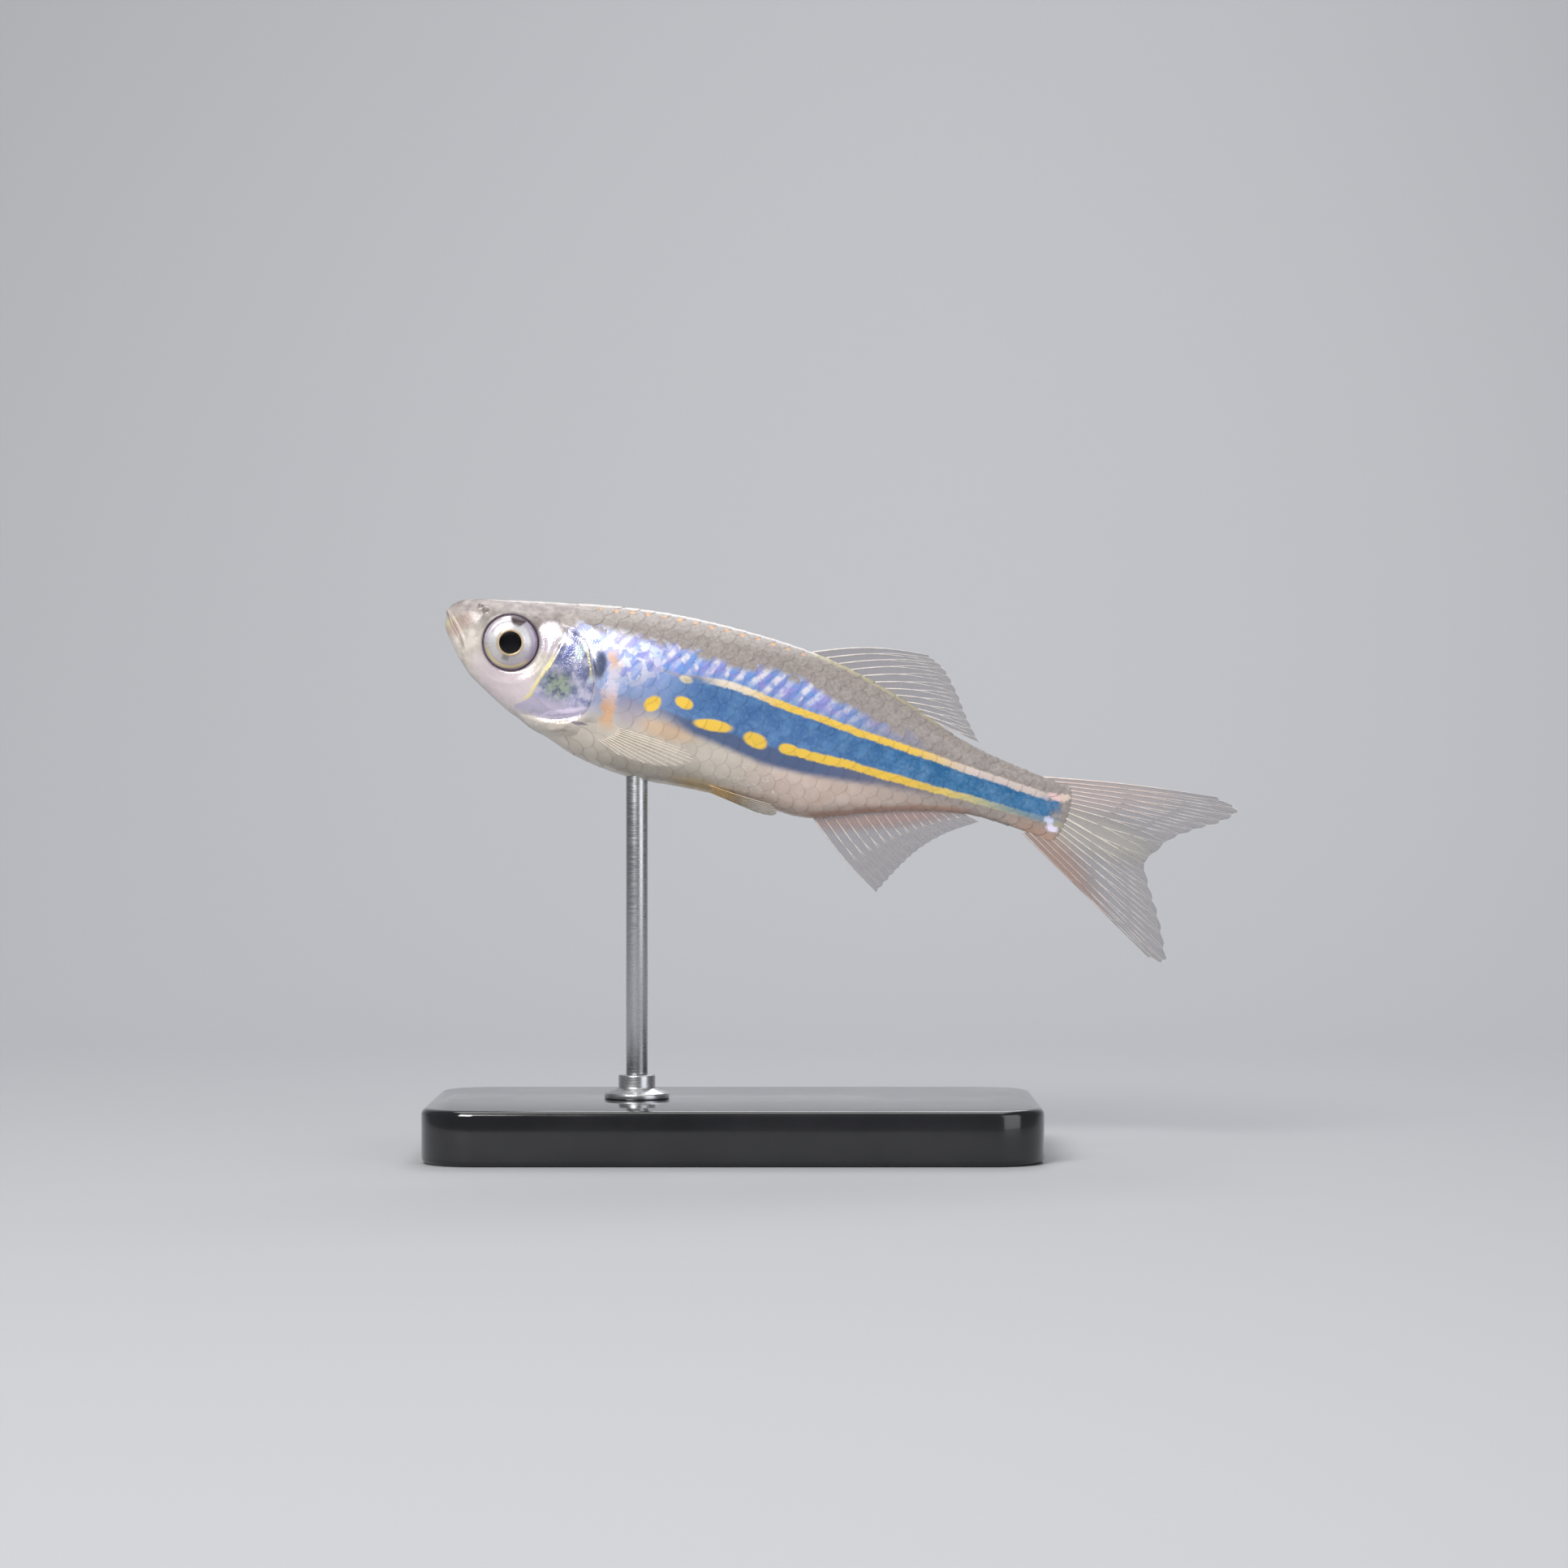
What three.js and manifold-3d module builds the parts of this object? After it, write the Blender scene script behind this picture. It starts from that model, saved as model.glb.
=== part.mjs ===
// A giant danio, life size, swimming head up on a display stand.
// Millimetres, +Z up. The origin is the middle of the stand's underside, and the head points along -X.
// The fish is shaped straight in its own frame: x from the snout to the tail, y to its right side,
// z up, snout at 0. Points of that frame are written as shares of its standard length.
// Its pieces are bent sideways last, and a group tilts them head up over the stand.
import * as THREE from 'three';
import { mergeVertices } from 'three/addons/utils/BufferGeometryUtils.js';
import Module from 'manifold-3d';

const wasm = await Module();
wasm.setup();

// Size and pose of the fish
const LENGTH = 60; // standard length, from the snout to the root of the tail fin
const HEAD_UP = THREE.MathUtils.degToRad(18.9);
const SNOUT = new THREE.Vector3(-26.8, 0, 50); // where the snout is over the stand
const BEND_START = 0.4; // share of the length at which the spine leaves the middle plane
const TAIL_SWING = 1.6; // how far the root of the tail fin is swung to the right
const GAP = 0.3; // clear width of every parting cut and round every set-in piece

// The body's outline: station along it, back, belly and half width, as shares of the length
const OUTLINE = [
  [0.0, 0.0, 0.0, 0.0],
  [0.02, 0.0285, -0.04, 0.0235],
  [0.05, 0.041, -0.0694, 0.0365],
  [0.1, 0.056, -0.098, 0.0495],
  [0.15, 0.0705, -0.118, 0.057],
  [0.2, 0.084, -0.1315, 0.0625],
  [0.27, 0.101, -0.148, 0.067],
  [0.35, 0.115, -0.151, 0.068],
  [0.45, 0.1245, -0.137, 0.064],
  [0.55, 0.1265, -0.1265, 0.0545],
  [0.63, 0.1195, -0.122, 0.0445],
  [0.72, 0.1015, -0.083, 0.034],
  [0.8, 0.0785, -0.053, 0.0255],
  [0.88, 0.065, -0.0345, 0.019],
  [1.0, 0.06, -0.034, 0.0125],
  [1.02, 0.06, -0.035, 0.0115],
];
const BODY_END = 1.015; // where the rounded root of the tail closes
const SQUARE_HEAD = 2.35; // power of the oval section at the snout, where 2 is an ellipse
const RINGS = 44;
const RING_SIDES = 28;

// Sizes of the eye, an ellipsoid let into the head, and of a nostril
const EYE = { at: [0.1157, -0.013], out: 2.55, radius: 2.6, bulge: 1.15, sides: 16, rings: 8 };
const NOSTRIL = { at: [0.058, 0.0245], out: 1.75, radius: 0.42 };

// Edges seen from the side, as shares of the length
const GILL_COVER = [
  [0.19, 0.022], [0.186, -0.015], [0.176, -0.05], [0.168, -0.082], [0.171, -0.101],
  [0.19, -0.1075], [0.215, -0.1035], [0.245, -0.0905], [0.2605, -0.072], [0.2625, -0.048],
  [0.252, -0.018], [0.237, 0.01], [0.222, 0.027], [0.205, 0.033],
];
const HEAD_EDGE = [
  [0.208, 0.16], [0.212, 0.06], [0.222, 0.03], [0.237, 0.01], [0.252, -0.018],
  [0.2625, -0.048], [0.2605, -0.072], [0.245, -0.0905], [0.215, -0.1035], [0.18, -0.114],
  [0.15, -0.128], [0.13, -0.17],
];
const JAW_EDGE = [
  [-0.02, 0.006], [0.004, 0.001], [0.022, -0.014], [0.04, -0.031], [0.052, -0.046],
  [0.06, -0.064], [0.066, -0.12],
];
const VENT = 0.632; // where the trunk ends and the tail begins
const COVER_INSET = 1.7; // half thickness of the head's core between the gill covers

// Fins: the line of the ray roots and the line of the ray tips, from the leading ray to the last.
// Points are [along, up] in the middle plane, or [along, up, out] on the right side.
const MEMBRANE = 0.5;
const RIDGE = 0.35; // how much thicker a ray is than the membrane, at its root
const RAY_STEPS = 3;
const FINS = {
  dorsal_fin: {
    rays: 12,
    roots: [[0.55, 0.1205], [0.66, 0.105], [0.76, 0.085]],
    tips: [[0.729, 0.178], [0.76, 0.165], [0.79, 0.137], [0.816, 0.106], [0.845, 0.077]],
    bow: [0, 0.0105],
  },
  anal_fin: {
    rays: 16,
    roots: [[0.634, -0.111], [0.74, -0.066], [0.84, -0.033]],
    tips: [[0.7715, -0.1948], [0.79, -0.15], [0.812, -0.109], [0.843, -0.073], [0.885, -0.04]],
    bow: [0, -0.006],
  },
  caudal_fin_upper: {
    rays: 10,
    roots: [[0.955, 0.058], [0.995, 0.04], [1.005, 0.0135]],
    tips: [[1.225, 0.1165], [1.264, 0.108], [1.246, 0.083], [1.212, 0.059], [1.178, 0.03],
      [1.15, -0.0165]],
    bow: [0, 0.004],
  },
  caudal_fin_lower: {
    rays: 9,
    roots: [[1.005, 0.0085], [0.995, -0.015], [0.955, -0.036]],
    tips: [[1.15, -0.0215], [1.172, -0.052], [1.196, -0.084], [1.218, -0.12], [1.233, -0.153],
      [1.205, -0.154]],
    bow: [0, 0],
  },
};
const PAIRED_FINS = {
  pectoral_fin: {
    rays: 12,
    roots: [[0.262, -0.086, 0.046], [0.268, -0.103, 0.041]],
    tips: [[0.43, -0.082, 0.088], [0.44, -0.094, 0.088], [0.42, -0.109, 0.082], [0.38, -0.12, 0.073],
      [0.33, -0.122, 0.061]],
    bow: [0, 0.002],
  },
  pelvic_fin: {
    rays: 8,
    roots: [[0.45, -0.12, 0.023], [0.464, -0.13, 0.008]],
    tips: [[0.575, -0.118, 0.035], [0.586, -0.1265, 0.026], [0.579, -0.134, 0.015], [0.555, -0.1365, 0.007]],
    bow: [0, -0.002],
  },
};

// The display stand: a flat base, a collar on it and one rod into the belly
const BASE = { long: 56, wide: 32, thick: 5, corner: 5, bevel: 0.6 };
const COLLAR = { foot: 3, neck: 1.7, rise: 2.2 };
const ROD = { station: 0.365, radius: 1, inside: 1.4, sides: 20 };

const shade = (color, roughness, metalness = 0, opacity = 1) =>
  new THREE.MeshStandardMaterial({ color, roughness, metalness, opacity, transparent: opacity < 1 });
const LOOKS = {
  head: shade(0xa8a29b, 0.35),
  gill_cover: shade(0xb9bccb, 0.25),
  trunk: shade(0x5f86b4, 0.35),
  tail: shade(0x4f7fb0, 0.35),
  fin: shade(0xb7b1a8, 0.3, 0, 0.6),
  eye: shade(0xd9d2c2, 0.1),
  stand: shade(0x1d1d1f, 0.35),
  steel: shade(0xb4b6b8, 0.3, 1),
};

// A piecewise cubic through one column of the outline. It runs over the square root of the
// station, which rounds the snout.
function outlineCurve(column) {
  const x = OUTLINE.map(row => Math.sqrt(row[0]));
  const y = OUTLINE.map(row => row[column]);
  const last = x.length - 1;
  const slope = x.map((_, i) => {
    const before = Math.max(i - 1, 0);
    const after = Math.min(i + 1, last);
    return (y[after] - y[before]) / (x[after] - x[before]);
  });
  return station => {
    const at = Math.sqrt(Math.max(station, 0));
    let i = 0;
    while (i < last - 1 && at > x[i + 1]) i += 1;
    const width = x[i + 1] - x[i];
    const t = (at - x[i]) / width;
    const rise = y[i + 1] - y[i];
    return y[i] + rise * t * t * (3 - 2 * t)
      + width * t * (1 - t) * (slope[i] * (1 - t) - slope[i + 1] * t);
  };
}

const back = outlineCurve(1);
const belly = outlineCurve(2);
const halfWidth = outlineCurve(3);

// A point of the body's surface in millimetres. The turn goes round from the back over the right side.
function bodyPoint(station, turn, grow = 0) {
  const along = 2 * station / BODY_END - 1;
  const past = Math.max(0, (station - 1) / (BODY_END - 1));
  const closing = Math.sqrt(Math.max(0, 1 - past * past));
  const skin = grow * Math.min(1, 3 * Math.sqrt(Math.max(0, 1 - along * along)));
  const middle = (back(station) + belly(station)) / 2;
  const tall = (back(station) - belly(station)) / 2;
  const power = 2 / (2 + (SQUARE_HEAD - 2) * Math.max(0, 1 - station / BEND_START));
  const oval = value => Math.sign(value) * Math.abs(value) ** power;
  return new THREE.Vector3(
    station * LENGTH + grow * along,
    oval(Math.sin(turn)) * (halfWidth(station) * LENGTH * closing + skin),
    middle * LENGTH + oval(Math.cos(turn)) * (tall * LENGTH * closing + skin),
  );
}

// Moves every vertex of a geometry to where the function says.
function reshape(geometry, move) {
  const { position } = geometry.attributes;
  for (let i = 0; i < position.count; i += 1) {
    const moved = move(new THREE.Vector3().fromBufferAttribute(position, i));
    position.setXYZ(i, moved.x, moved.y, moved.z);
  }
  return geometry;
}

function bare(geometry) {
  geometry.deleteAttribute('normal');
  geometry.deleteAttribute('uv');
  return mergeVertices(geometry);
}

function toSolid(geometry) {
  const { attributes, index } = bare(geometry);
  return new wasm.Manifold(new wasm.Mesh({
    numProp: 3,
    vertProperties: new Float32Array(attributes.position.array),
    triVerts: new Uint32Array(index.array),
  }));
}

function toGeometry(solid) {
  const { vertProperties, triVerts } = solid.getMesh();
  const geometry = new THREE.BufferGeometry();
  geometry.setAttribute('position', new THREE.BufferAttribute(Float32Array.from(vertProperties), 3));
  geometry.setIndex(new THREE.BufferAttribute(Uint32Array.from(triVerts), 1));
  return geometry;
}

// The left twin of a piece on the right. Its triangles are turned round to face out again.
function reflected(geometry) {
  const twin = bare(geometry.clone()).scale(1, -1, 1);
  const { index } = twin;
  for (let i = 0; i < index.count; i += 3) {
    const first = index.getX(i);
    index.setX(i, index.getX(i + 1));
    index.setX(i + 1, first);
  }
  return twin;
}

const onBothSides = geometry => toSolid(geometry).add(toSolid(reflected(geometry)));

function bodySolid(grow) {
  const ball = new THREE.SphereGeometry(1, RING_SIDES, RINGS);
  return toSolid(reshape(ball, p => {
    const station = BODY_END * (1 - p.y) / 2;
    return bodyPoint(station, Math.atan2(p.x, p.z), grow);
  }));
}

// A curve's points in millimetres, each moved sideways off the curve by the growth.
function offsetPoints(points, steps, grow, closed) {
  const flat = points.map(([x, z]) => new THREE.Vector3(x * LENGTH, z * LENGTH, 0));
  const curve = new THREE.CatmullRomCurve3(flat, closed);
  return Array.from({ length: closed ? steps : steps + 1 }, (_, i) => {
    const point = curve.getPoint(i / steps);
    const along = curve.getTangent(i / steps);
    return new THREE.Vector2(point.x - along.y * grow, point.y + along.x * grow);
  });
}

// A block with the given side view, from one distance off the middle plane to another.
function sideBlock(points, from, to) {
  const block = new THREE.ExtrudeGeometry(new THREE.Shape(points), {
    depth: to - from,
    bevelEnabled: false,
  });
  return block.rotateX(Math.PI / 2).translate(0, to, 0);
}

const REACH = 12; // further out than any of the body's sides

// Everything on the snout's side of an edge that crosses the body.
function regionAhead(edge, grow, corners) {
  const far = corners.map(([x, z]) => new THREE.Vector2(x * LENGTH, z * LENGTH));
  const near = offsetPoints(edge, 2 * edge.length, grow, false);
  return toSolid(sideBlock([...near, ...far], -REACH, REACH));
}

const headRegion = grow => regionAhead(HEAD_EDGE, grow, [[-0.05, -0.17], [-0.05, 0.16]]);
const jawRegion = grow => regionAhead(JAW_EDGE, grow, [[-0.02, -0.12]]);

function coverBlock(grow) {
  return sideBlock(offsetPoints(GILL_COVER, 2 * GILL_COVER.length, -grow, true), COVER_INSET - grow, REACH);
}

function slice(from, to) {
  const block = new THREE.BoxGeometry((to - from) * LENGTH, 2 * REACH, 2 * REACH);
  return toSolid(block.translate((from + to) / 2 * LENGTH, 0, 0));
}

function eyeBall(grow) {
  const ball = new THREE.SphereGeometry(1, EYE.sides, EYE.rings).rotateX(Math.PI / 2);
  ball.scale(EYE.radius + grow, EYE.bulge + grow, EYE.radius + grow);
  return ball.translate(EYE.at[0] * LENGTH, EYE.out, EYE.at[1] * LENGTH);
}

function nostrilPit() {
  const ball = new THREE.SphereGeometry(NOSTRIL.radius, 8, 6);
  return ball.translate(NOSTRIL.at[0] * LENGTH, NOSTRIL.out, NOSTRIL.at[1] * LENGTH);
}

// A fan of rays with thin membrane between them. Every second column of the grid is a ray.
function finSolid({ rays, roots, tips, bow }) {
  const line = points => new THREE.CatmullRomCurve3(
    points.map(([x, z, y = 0]) => new THREE.Vector3(x, y, z).multiplyScalar(LENGTH)),
  );
  const rootLine = line(roots);
  const tipLine = line(tips);
  const middle = curve => curve.getPoint(0.5);
  const across = rootLine.getPoint(1).sub(rootLine.getPoint(0))
    .add(tipLine.getPoint(1)).sub(tipLine.getPoint(0));
  const face = across.cross(middle(tipLine).sub(middle(rootLine))).normalize();
  const grid = new THREE.BoxGeometry(1, 1, 1, 2 * (rays - 1), RAY_STEPS, 1);
  return toSolid(reshape(grid, p => {
    const place = p.x + 0.5;
    const reach = p.y + 0.5;
    const onRay = Math.round(place * 2 * (rays - 1)) % 2 === 0;
    const thick = MEMBRANE + (onRay ? RIDGE * (1 - reach) : 0);
    const arch = Math.sin(Math.PI * reach) * (1 - place) * LENGTH;
    return rootLine.getPoint(place)
      .lerp(tipLine.getPoint(place), reach)
      .add(new THREE.Vector3(bow[0] * arch, 0, bow[1] * arch))
      .addScaledVector(face, p.z * thick);
  }));
}

// The rod's place under the belly, in the stand's frame
const fishFrame = new THREE.Matrix4().makeRotationY(HEAD_UP).setPosition(SNOUT);
const rodMeets = bodyPoint(ROD.station, Math.PI).applyMatrix4(fishFrame);

function rodGeometry(radius, bottom, top) {
  const rod = new THREE.CylinderGeometry(radius, radius, top - bottom, ROD.sides);
  return rod.rotateX(Math.PI / 2).translate(rodMeets.x, 0, (top + bottom) / 2);
}

// The hole in the belly that takes the rod, in the fish's frame
function rodHole() {
  const hole = rodGeometry(ROD.radius + GAP, rodMeets.z - 5, rodMeets.z + ROD.inside + GAP);
  return toSolid(hole.applyMatrix4(fishFrame.clone().invert()));
}

// The fish, made whole and then parted, still straight
function partedFish() {
  const whole = bodySolid(0);
  const clearOfBody = bodySolid(GAP);
  const covers = onBothSides(coverBlock(GAP));
  const headParts = whole.intersect(headRegion(0)).subtract(covers);
  const middle = {
    head: headParts
      .subtract(jawRegion(GAP))
      .subtract(onBothSides(eyeBall(GAP)))
      .subtract(onBothSides(nostrilPit())),
    lower_jaw: headParts.intersect(jawRegion(0)),
    trunk: whole.intersect(slice(0, VENT)).subtract(headRegion(GAP)).subtract(covers).subtract(rodHole()),
    tail: whole.intersect(slice(VENT + GAP / LENGTH, BODY_END + 1)),
  };
  const paired = {
    gill_cover: whole.intersect(toSolid(coverBlock(0))),
    eye: toSolid(eyeBall(0)),
  };
  for (const [name, sizes] of Object.entries(FINS)) {
    middle[name] = finSolid(sizes).subtract(clearOfBody);
  }
  for (const [name, sizes] of Object.entries(PAIRED_FINS)) {
    paired[name] = finSolid(sizes).subtract(clearOfBody);
  }
  const pieces = Object.entries(middle).map(([name, solid]) => [name, toGeometry(solid)]);
  for (const [name, solid] of Object.entries(paired)) {
    const right = toGeometry(solid);
    pieces.push([`${name}_right`, right], [`${name}_left`, reflected(right)]);
  }
  return pieces;
}

// Swings the hind part of the fish to the right, more and more towards the tail.
function bend(point) {
  const past = Math.max(0, (point.x / LENGTH - BEND_START) / (1 - BEND_START));
  point.y += TAIL_SWING * past * past;
  return point;
}

function lookOf(name) {
  const found = Object.keys(LOOKS).find(key => name.includes(key));
  return LOOKS[found ?? 'head'];
}

function named(name, geometry, material) {
  const mesh = new THREE.Mesh(geometry, material);
  mesh.name = name;
  return mesh;
}

function makeFish() {
  const fish = new THREE.Group();
  for (const [name, geometry] of partedFish()) {
    reshape(geometry, bend).computeVertexNormals();
    fish.add(named(name, geometry, lookOf(name)));
  }
  fish.rotation.y = HEAD_UP;
  fish.position.copy(SNOUT);
  return fish;
}

function baseGeometry() {
  const halfLong = BASE.long / 2 - BASE.bevel;
  const halfWide = BASE.wide / 2 - BASE.bevel;
  const { corner } = BASE;
  const outline = new THREE.Shape();
  outline.absarc(halfLong - corner, halfWide - corner, corner, 0, Math.PI / 2);
  outline.absarc(corner - halfLong, halfWide - corner, corner, Math.PI / 2, Math.PI);
  outline.absarc(corner - halfLong, corner - halfWide, corner, Math.PI, Math.PI * 1.5);
  outline.absarc(halfLong - corner, corner - halfWide, corner, Math.PI * 1.5, Math.PI * 2);
  const block = new THREE.ExtrudeGeometry(outline, {
    depth: BASE.thick - 2 * BASE.bevel,
    bevelThickness: BASE.bevel,
    bevelSize: BASE.bevel,
    bevelSegments: 1,
    curveSegments: 5,
  });
  return block.translate(0, 0, BASE.bevel);
}

function collarGeometry() {
  const { foot, neck, rise } = COLLAR;
  const profile = [[0, 0], [foot, 0], [foot, 0.5], [neck, 1], [neck, rise], [0, rise]];
  const turned = new THREE.LatheGeometry(profile.map(([r, h]) => new THREE.Vector2(r, h)), ROD.sides);
  return turned.rotateX(Math.PI / 2).translate(rodMeets.x, 0, BASE.thick);
}

function makeStand() {
  const stand = new THREE.Group();
  const rodFoot = BASE.thick + COLLAR.rise;
  const rod = rodGeometry(ROD.radius, rodFoot, rodMeets.z + ROD.inside);
  stand.add(named('stand_base', baseGeometry(), LOOKS.stand));
  stand.add(named('stand_collar', collarGeometry(), LOOKS.steel));
  stand.add(named('stand_rod', rod, LOOKS.steel));
  return stand;
}

const danio = new THREE.Group();
danio.add(makeFish(), makeStand());

export default danio;
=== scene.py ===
"""A giant danio, life size, swimming head up on a display stand.

Metres, +Z up, head towards -X. The fish is shaped straight in its own frame: x from the snout
to the tail, y to its right side, z up, snout at 0. Places on it are shares of its standard
length: a station along it, and a height over the snout. Its pieces are bent sideways, tilted
head up and moved over the stand last.
"""
import bisect
import math
import random

import bmesh
import bpy
from mathutils import Matrix, Vector


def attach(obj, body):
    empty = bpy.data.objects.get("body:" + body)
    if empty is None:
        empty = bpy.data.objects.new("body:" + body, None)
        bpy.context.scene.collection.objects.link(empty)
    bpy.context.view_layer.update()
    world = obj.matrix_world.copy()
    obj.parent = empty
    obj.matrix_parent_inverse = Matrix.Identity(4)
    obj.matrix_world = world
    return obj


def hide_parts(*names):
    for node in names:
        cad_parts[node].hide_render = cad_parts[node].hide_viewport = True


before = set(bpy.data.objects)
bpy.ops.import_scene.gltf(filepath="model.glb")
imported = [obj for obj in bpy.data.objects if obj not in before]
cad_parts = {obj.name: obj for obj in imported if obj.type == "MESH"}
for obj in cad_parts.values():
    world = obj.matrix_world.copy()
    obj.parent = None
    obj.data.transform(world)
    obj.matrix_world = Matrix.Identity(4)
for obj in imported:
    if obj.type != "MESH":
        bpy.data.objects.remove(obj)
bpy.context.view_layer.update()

MM = 0.001

# Size and pose of the fish
LENGTH = 60 * MM
HEAD_UP = math.radians(18.9)
SNOUT = Vector((-26.8, 0, 50)) * MM
BEND_START = 0.4
TAIL_SWING = 1.6 * MM

# The body's outline: station, back, belly and half width, as shares of the length
OUTLINE = [
    (0.0, 0.0, 0.0, 0.0),
    (0.02, 0.0285, -0.04, 0.0235),
    (0.05, 0.041, -0.0694, 0.0365),
    (0.1, 0.056, -0.098, 0.0495),
    (0.15, 0.0705, -0.118, 0.057),
    (0.2, 0.084, -0.1315, 0.0625),
    (0.27, 0.101, -0.148, 0.067),
    (0.35, 0.115, -0.151, 0.068),
    (0.45, 0.1245, -0.137, 0.064),
    (0.55, 0.1265, -0.1265, 0.0545),
    (0.63, 0.1195, -0.122, 0.0445),
    (0.72, 0.1015, -0.083, 0.034),
    (0.8, 0.0785, -0.053, 0.0255),
    (0.88, 0.065, -0.0345, 0.018),
    (1.0, 0.06, -0.034, 0.0062),
    (1.02, 0.06, -0.035, 0.0035),
]
BODY_END = 1.015
SQUARE_HEAD = 2.35
COAT = 0.15 * MM  # how deep the skin lies under the outline, to leave room for the scales


def clamp(value):
    return min(1.0, max(0.0, value))


def smooth(low, high, value):
    """Rises softly from 0 at low to 1 at high."""
    t = clamp((value - low) / (high - low))
    return t * t * (3 - 2 * t)


def bump(distance, width, height):
    """A soft ridge, or with a negative height a groove."""
    return height * math.exp(-((distance / width) ** 2))


def outline_curve(column):
    """A smooth curve through one column of the outline, over the square root of the station."""
    xs = [math.sqrt(row[0]) for row in OUTLINE]
    ys = [row[column] for row in OUTLINE]
    last = len(xs) - 1
    slopes = []
    for i in range(last + 1):
        before, after = max(i - 1, 0), min(i + 1, last)
        slopes.append((ys[after] - ys[before]) / (xs[after] - xs[before]))

    def height(station):
        at = math.sqrt(max(station, 0.0))
        i = min(max(bisect.bisect_left(xs, at) - 1, 0), last - 1)
        width = xs[i + 1] - xs[i]
        t = (at - xs[i]) / width
        rise = ys[i + 1] - ys[i]
        lean = slopes[i] * (1 - t) - slopes[i + 1] * t
        return ys[i] + rise * t * t * (3 - 2 * t) + width * t * (1 - t) * lean

    return height


back = outline_curve(1)
belly = outline_curve(2)
half_width = outline_curve(3)


def body_point(station, turn, grow=0.0):
    """A point of the body's outline, grown outwards. The turn goes from the back over the right side."""
    along = 2 * station / BODY_END - 1
    past = max(0.0, (station - 1) / (BODY_END - 1))
    closing = math.sqrt(max(0.0, 1 - past * past))
    skin = grow * min(1.0, 3 * math.sqrt(max(0.0, 1 - along * along)))
    top, bottom = back(station), belly(station)
    power = 2 / (2 + (SQUARE_HEAD - 2) * max(0.0, 1 - station / BEND_START))
    out, up = math.sin(turn), math.cos(turn)
    oval_out = math.copysign(abs(out) ** power, out)
    oval_up = math.copysign(abs(up) ** power, up)
    return Vector((
        station * LENGTH + grow * along,
        oval_out * (half_width(station) * LENGTH * closing + skin),
        (top + bottom) / 2 * LENGTH + oval_up * ((top - bottom) / 2 * LENGTH * closing + skin),
    ))


TILT = Matrix.Translation(SNOUT) @ Matrix.Rotation(HEAD_UP, 4, "Y")


def in_place(point):
    """Bends a point of the straight fish to its right, tilts it head up and moves it over the stand."""
    past = max(0.0, (point.x / LENGTH - BEND_START) / (1 - BEND_START))
    return TILT @ Vector((point.x, point.y + TAIL_SWING * past * past, point.z))


def smooth_line(points):
    """A curve through points, from 0 at the first to 1 at the last."""
    nodes = [Vector(p) for p in points]
    last = len(nodes) - 1

    def at(share):
        i = min(int(clamp(share) * last), last - 1)
        t = clamp(share) * last - i
        a, b = nodes[i], nodes[i + 1]
        before = nodes[i - 1] if i > 0 else 2 * a - b
        after = nodes[i + 2] if i + 2 <= last else 2 * b - a
        lean_a, lean_b = (b - before) / 2, (after - a) / 2
        return (
            a * (1 + 2 * t) * (1 - t) ** 2
            + b * t * t * (3 - 2 * t)
            + lean_a * t * (1 - t) ** 2
            - lean_b * t * t * (1 - t)
        )

    return at


def side_line(points, steps=3):
    """Points of a smooth curve that is seen from the side."""
    curve = smooth_line(points)
    count = steps * (len(points) - 1)
    return [tuple(curve(i / count)) for i in range(count + 1)]


def from_line(line, station, height):
    """Distance from a line seen from the side, in metres, below 0 on the right of its direction."""
    best = None
    for (s0, v0), (s1, v1) in zip(line, line[1:]):
        ds, dv = s1 - s0, v1 - v0
        t = clamp(((station - s0) * ds + (height - v0) * dv) / (ds * ds + dv * dv))
        off_s, off_v = station - s0 - t * ds, height - v0 - t * dv
        gap = math.hypot(off_s, off_v)
        if best is None or gap < abs(best):
            best = math.copysign(gap, ds * off_v - dv * off_s)
    return best * LENGTH


def only(geom, kind):
    return [part for part in geom if isinstance(part, kind)]


def mesh_object(bm, name, materials):
    mesh = bpy.data.meshes.new(name)
    bm.to_mesh(mesh)
    bm.free()
    mesh.shade_smooth()
    for material in materials:
        mesh.materials.append(bpy.data.materials[material])
    piece = bpy.data.objects.new(name, mesh)
    bpy.context.scene.collection.objects.link(piece)
    return piece


def face_outwards(bm):
    """Turns a closed piece's faces outwards. Blender judges by their normals, so these are renewed first."""
    bm.normal_update()
    bmesh.ops.recalc_face_normals(bm, faces=bm.faces)


def finish_piece(bm, name, materials, slot, *nodes):
    """Makes a mesh object, which stands for the CAD nodes that are named."""
    piece = mesh_object(bm, name, materials)
    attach(piece, "root")
    if nodes:
        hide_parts(*nodes)
    return piece


# The head, seen from the side
EYE = (0.1157, -0.013)
EYE_OUT = 2.55 * MM
EYE_RADIUS = 2.6 * MM
EYE_BULGE = 1.15 * MM
SOCKET_FLOOR = 1.95 * MM  # how far out the skin lies under the eye
SOCKET_RIM = EYE_OUT + 0.22 * MM
SOCKET_REACH = 4 * MM
SOCKET_SLOPE = (2.5 * MM, 3.7 * MM)  # distances from the eye's middle
SOCKET_WALL = (2.36 * MM, 2.66 * MM)
SOCKET_FLAT = 0.75  # how far the skin round the eye is brought to its rim
SOCKET_LIP = 2.85 * MM
LIP_WIDE = 0.16 * MM
LIP_HIGH = 0.07 * MM
MOUTH = side_line([(-0.004, 0.003), (0.004, 0.001), (0.022, -0.014), (0.04, -0.031), (0.05, -0.043)])
COVER_EDGE = side_line([
    (0.2, 0.034), (0.222, 0.027), (0.237, 0.01), (0.252, -0.018), (0.2625, -0.048),
    (0.2605, -0.072), (0.245, -0.0905), (0.215, -0.1035), (0.185, -0.108), (0.155, -0.112),
])
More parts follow.
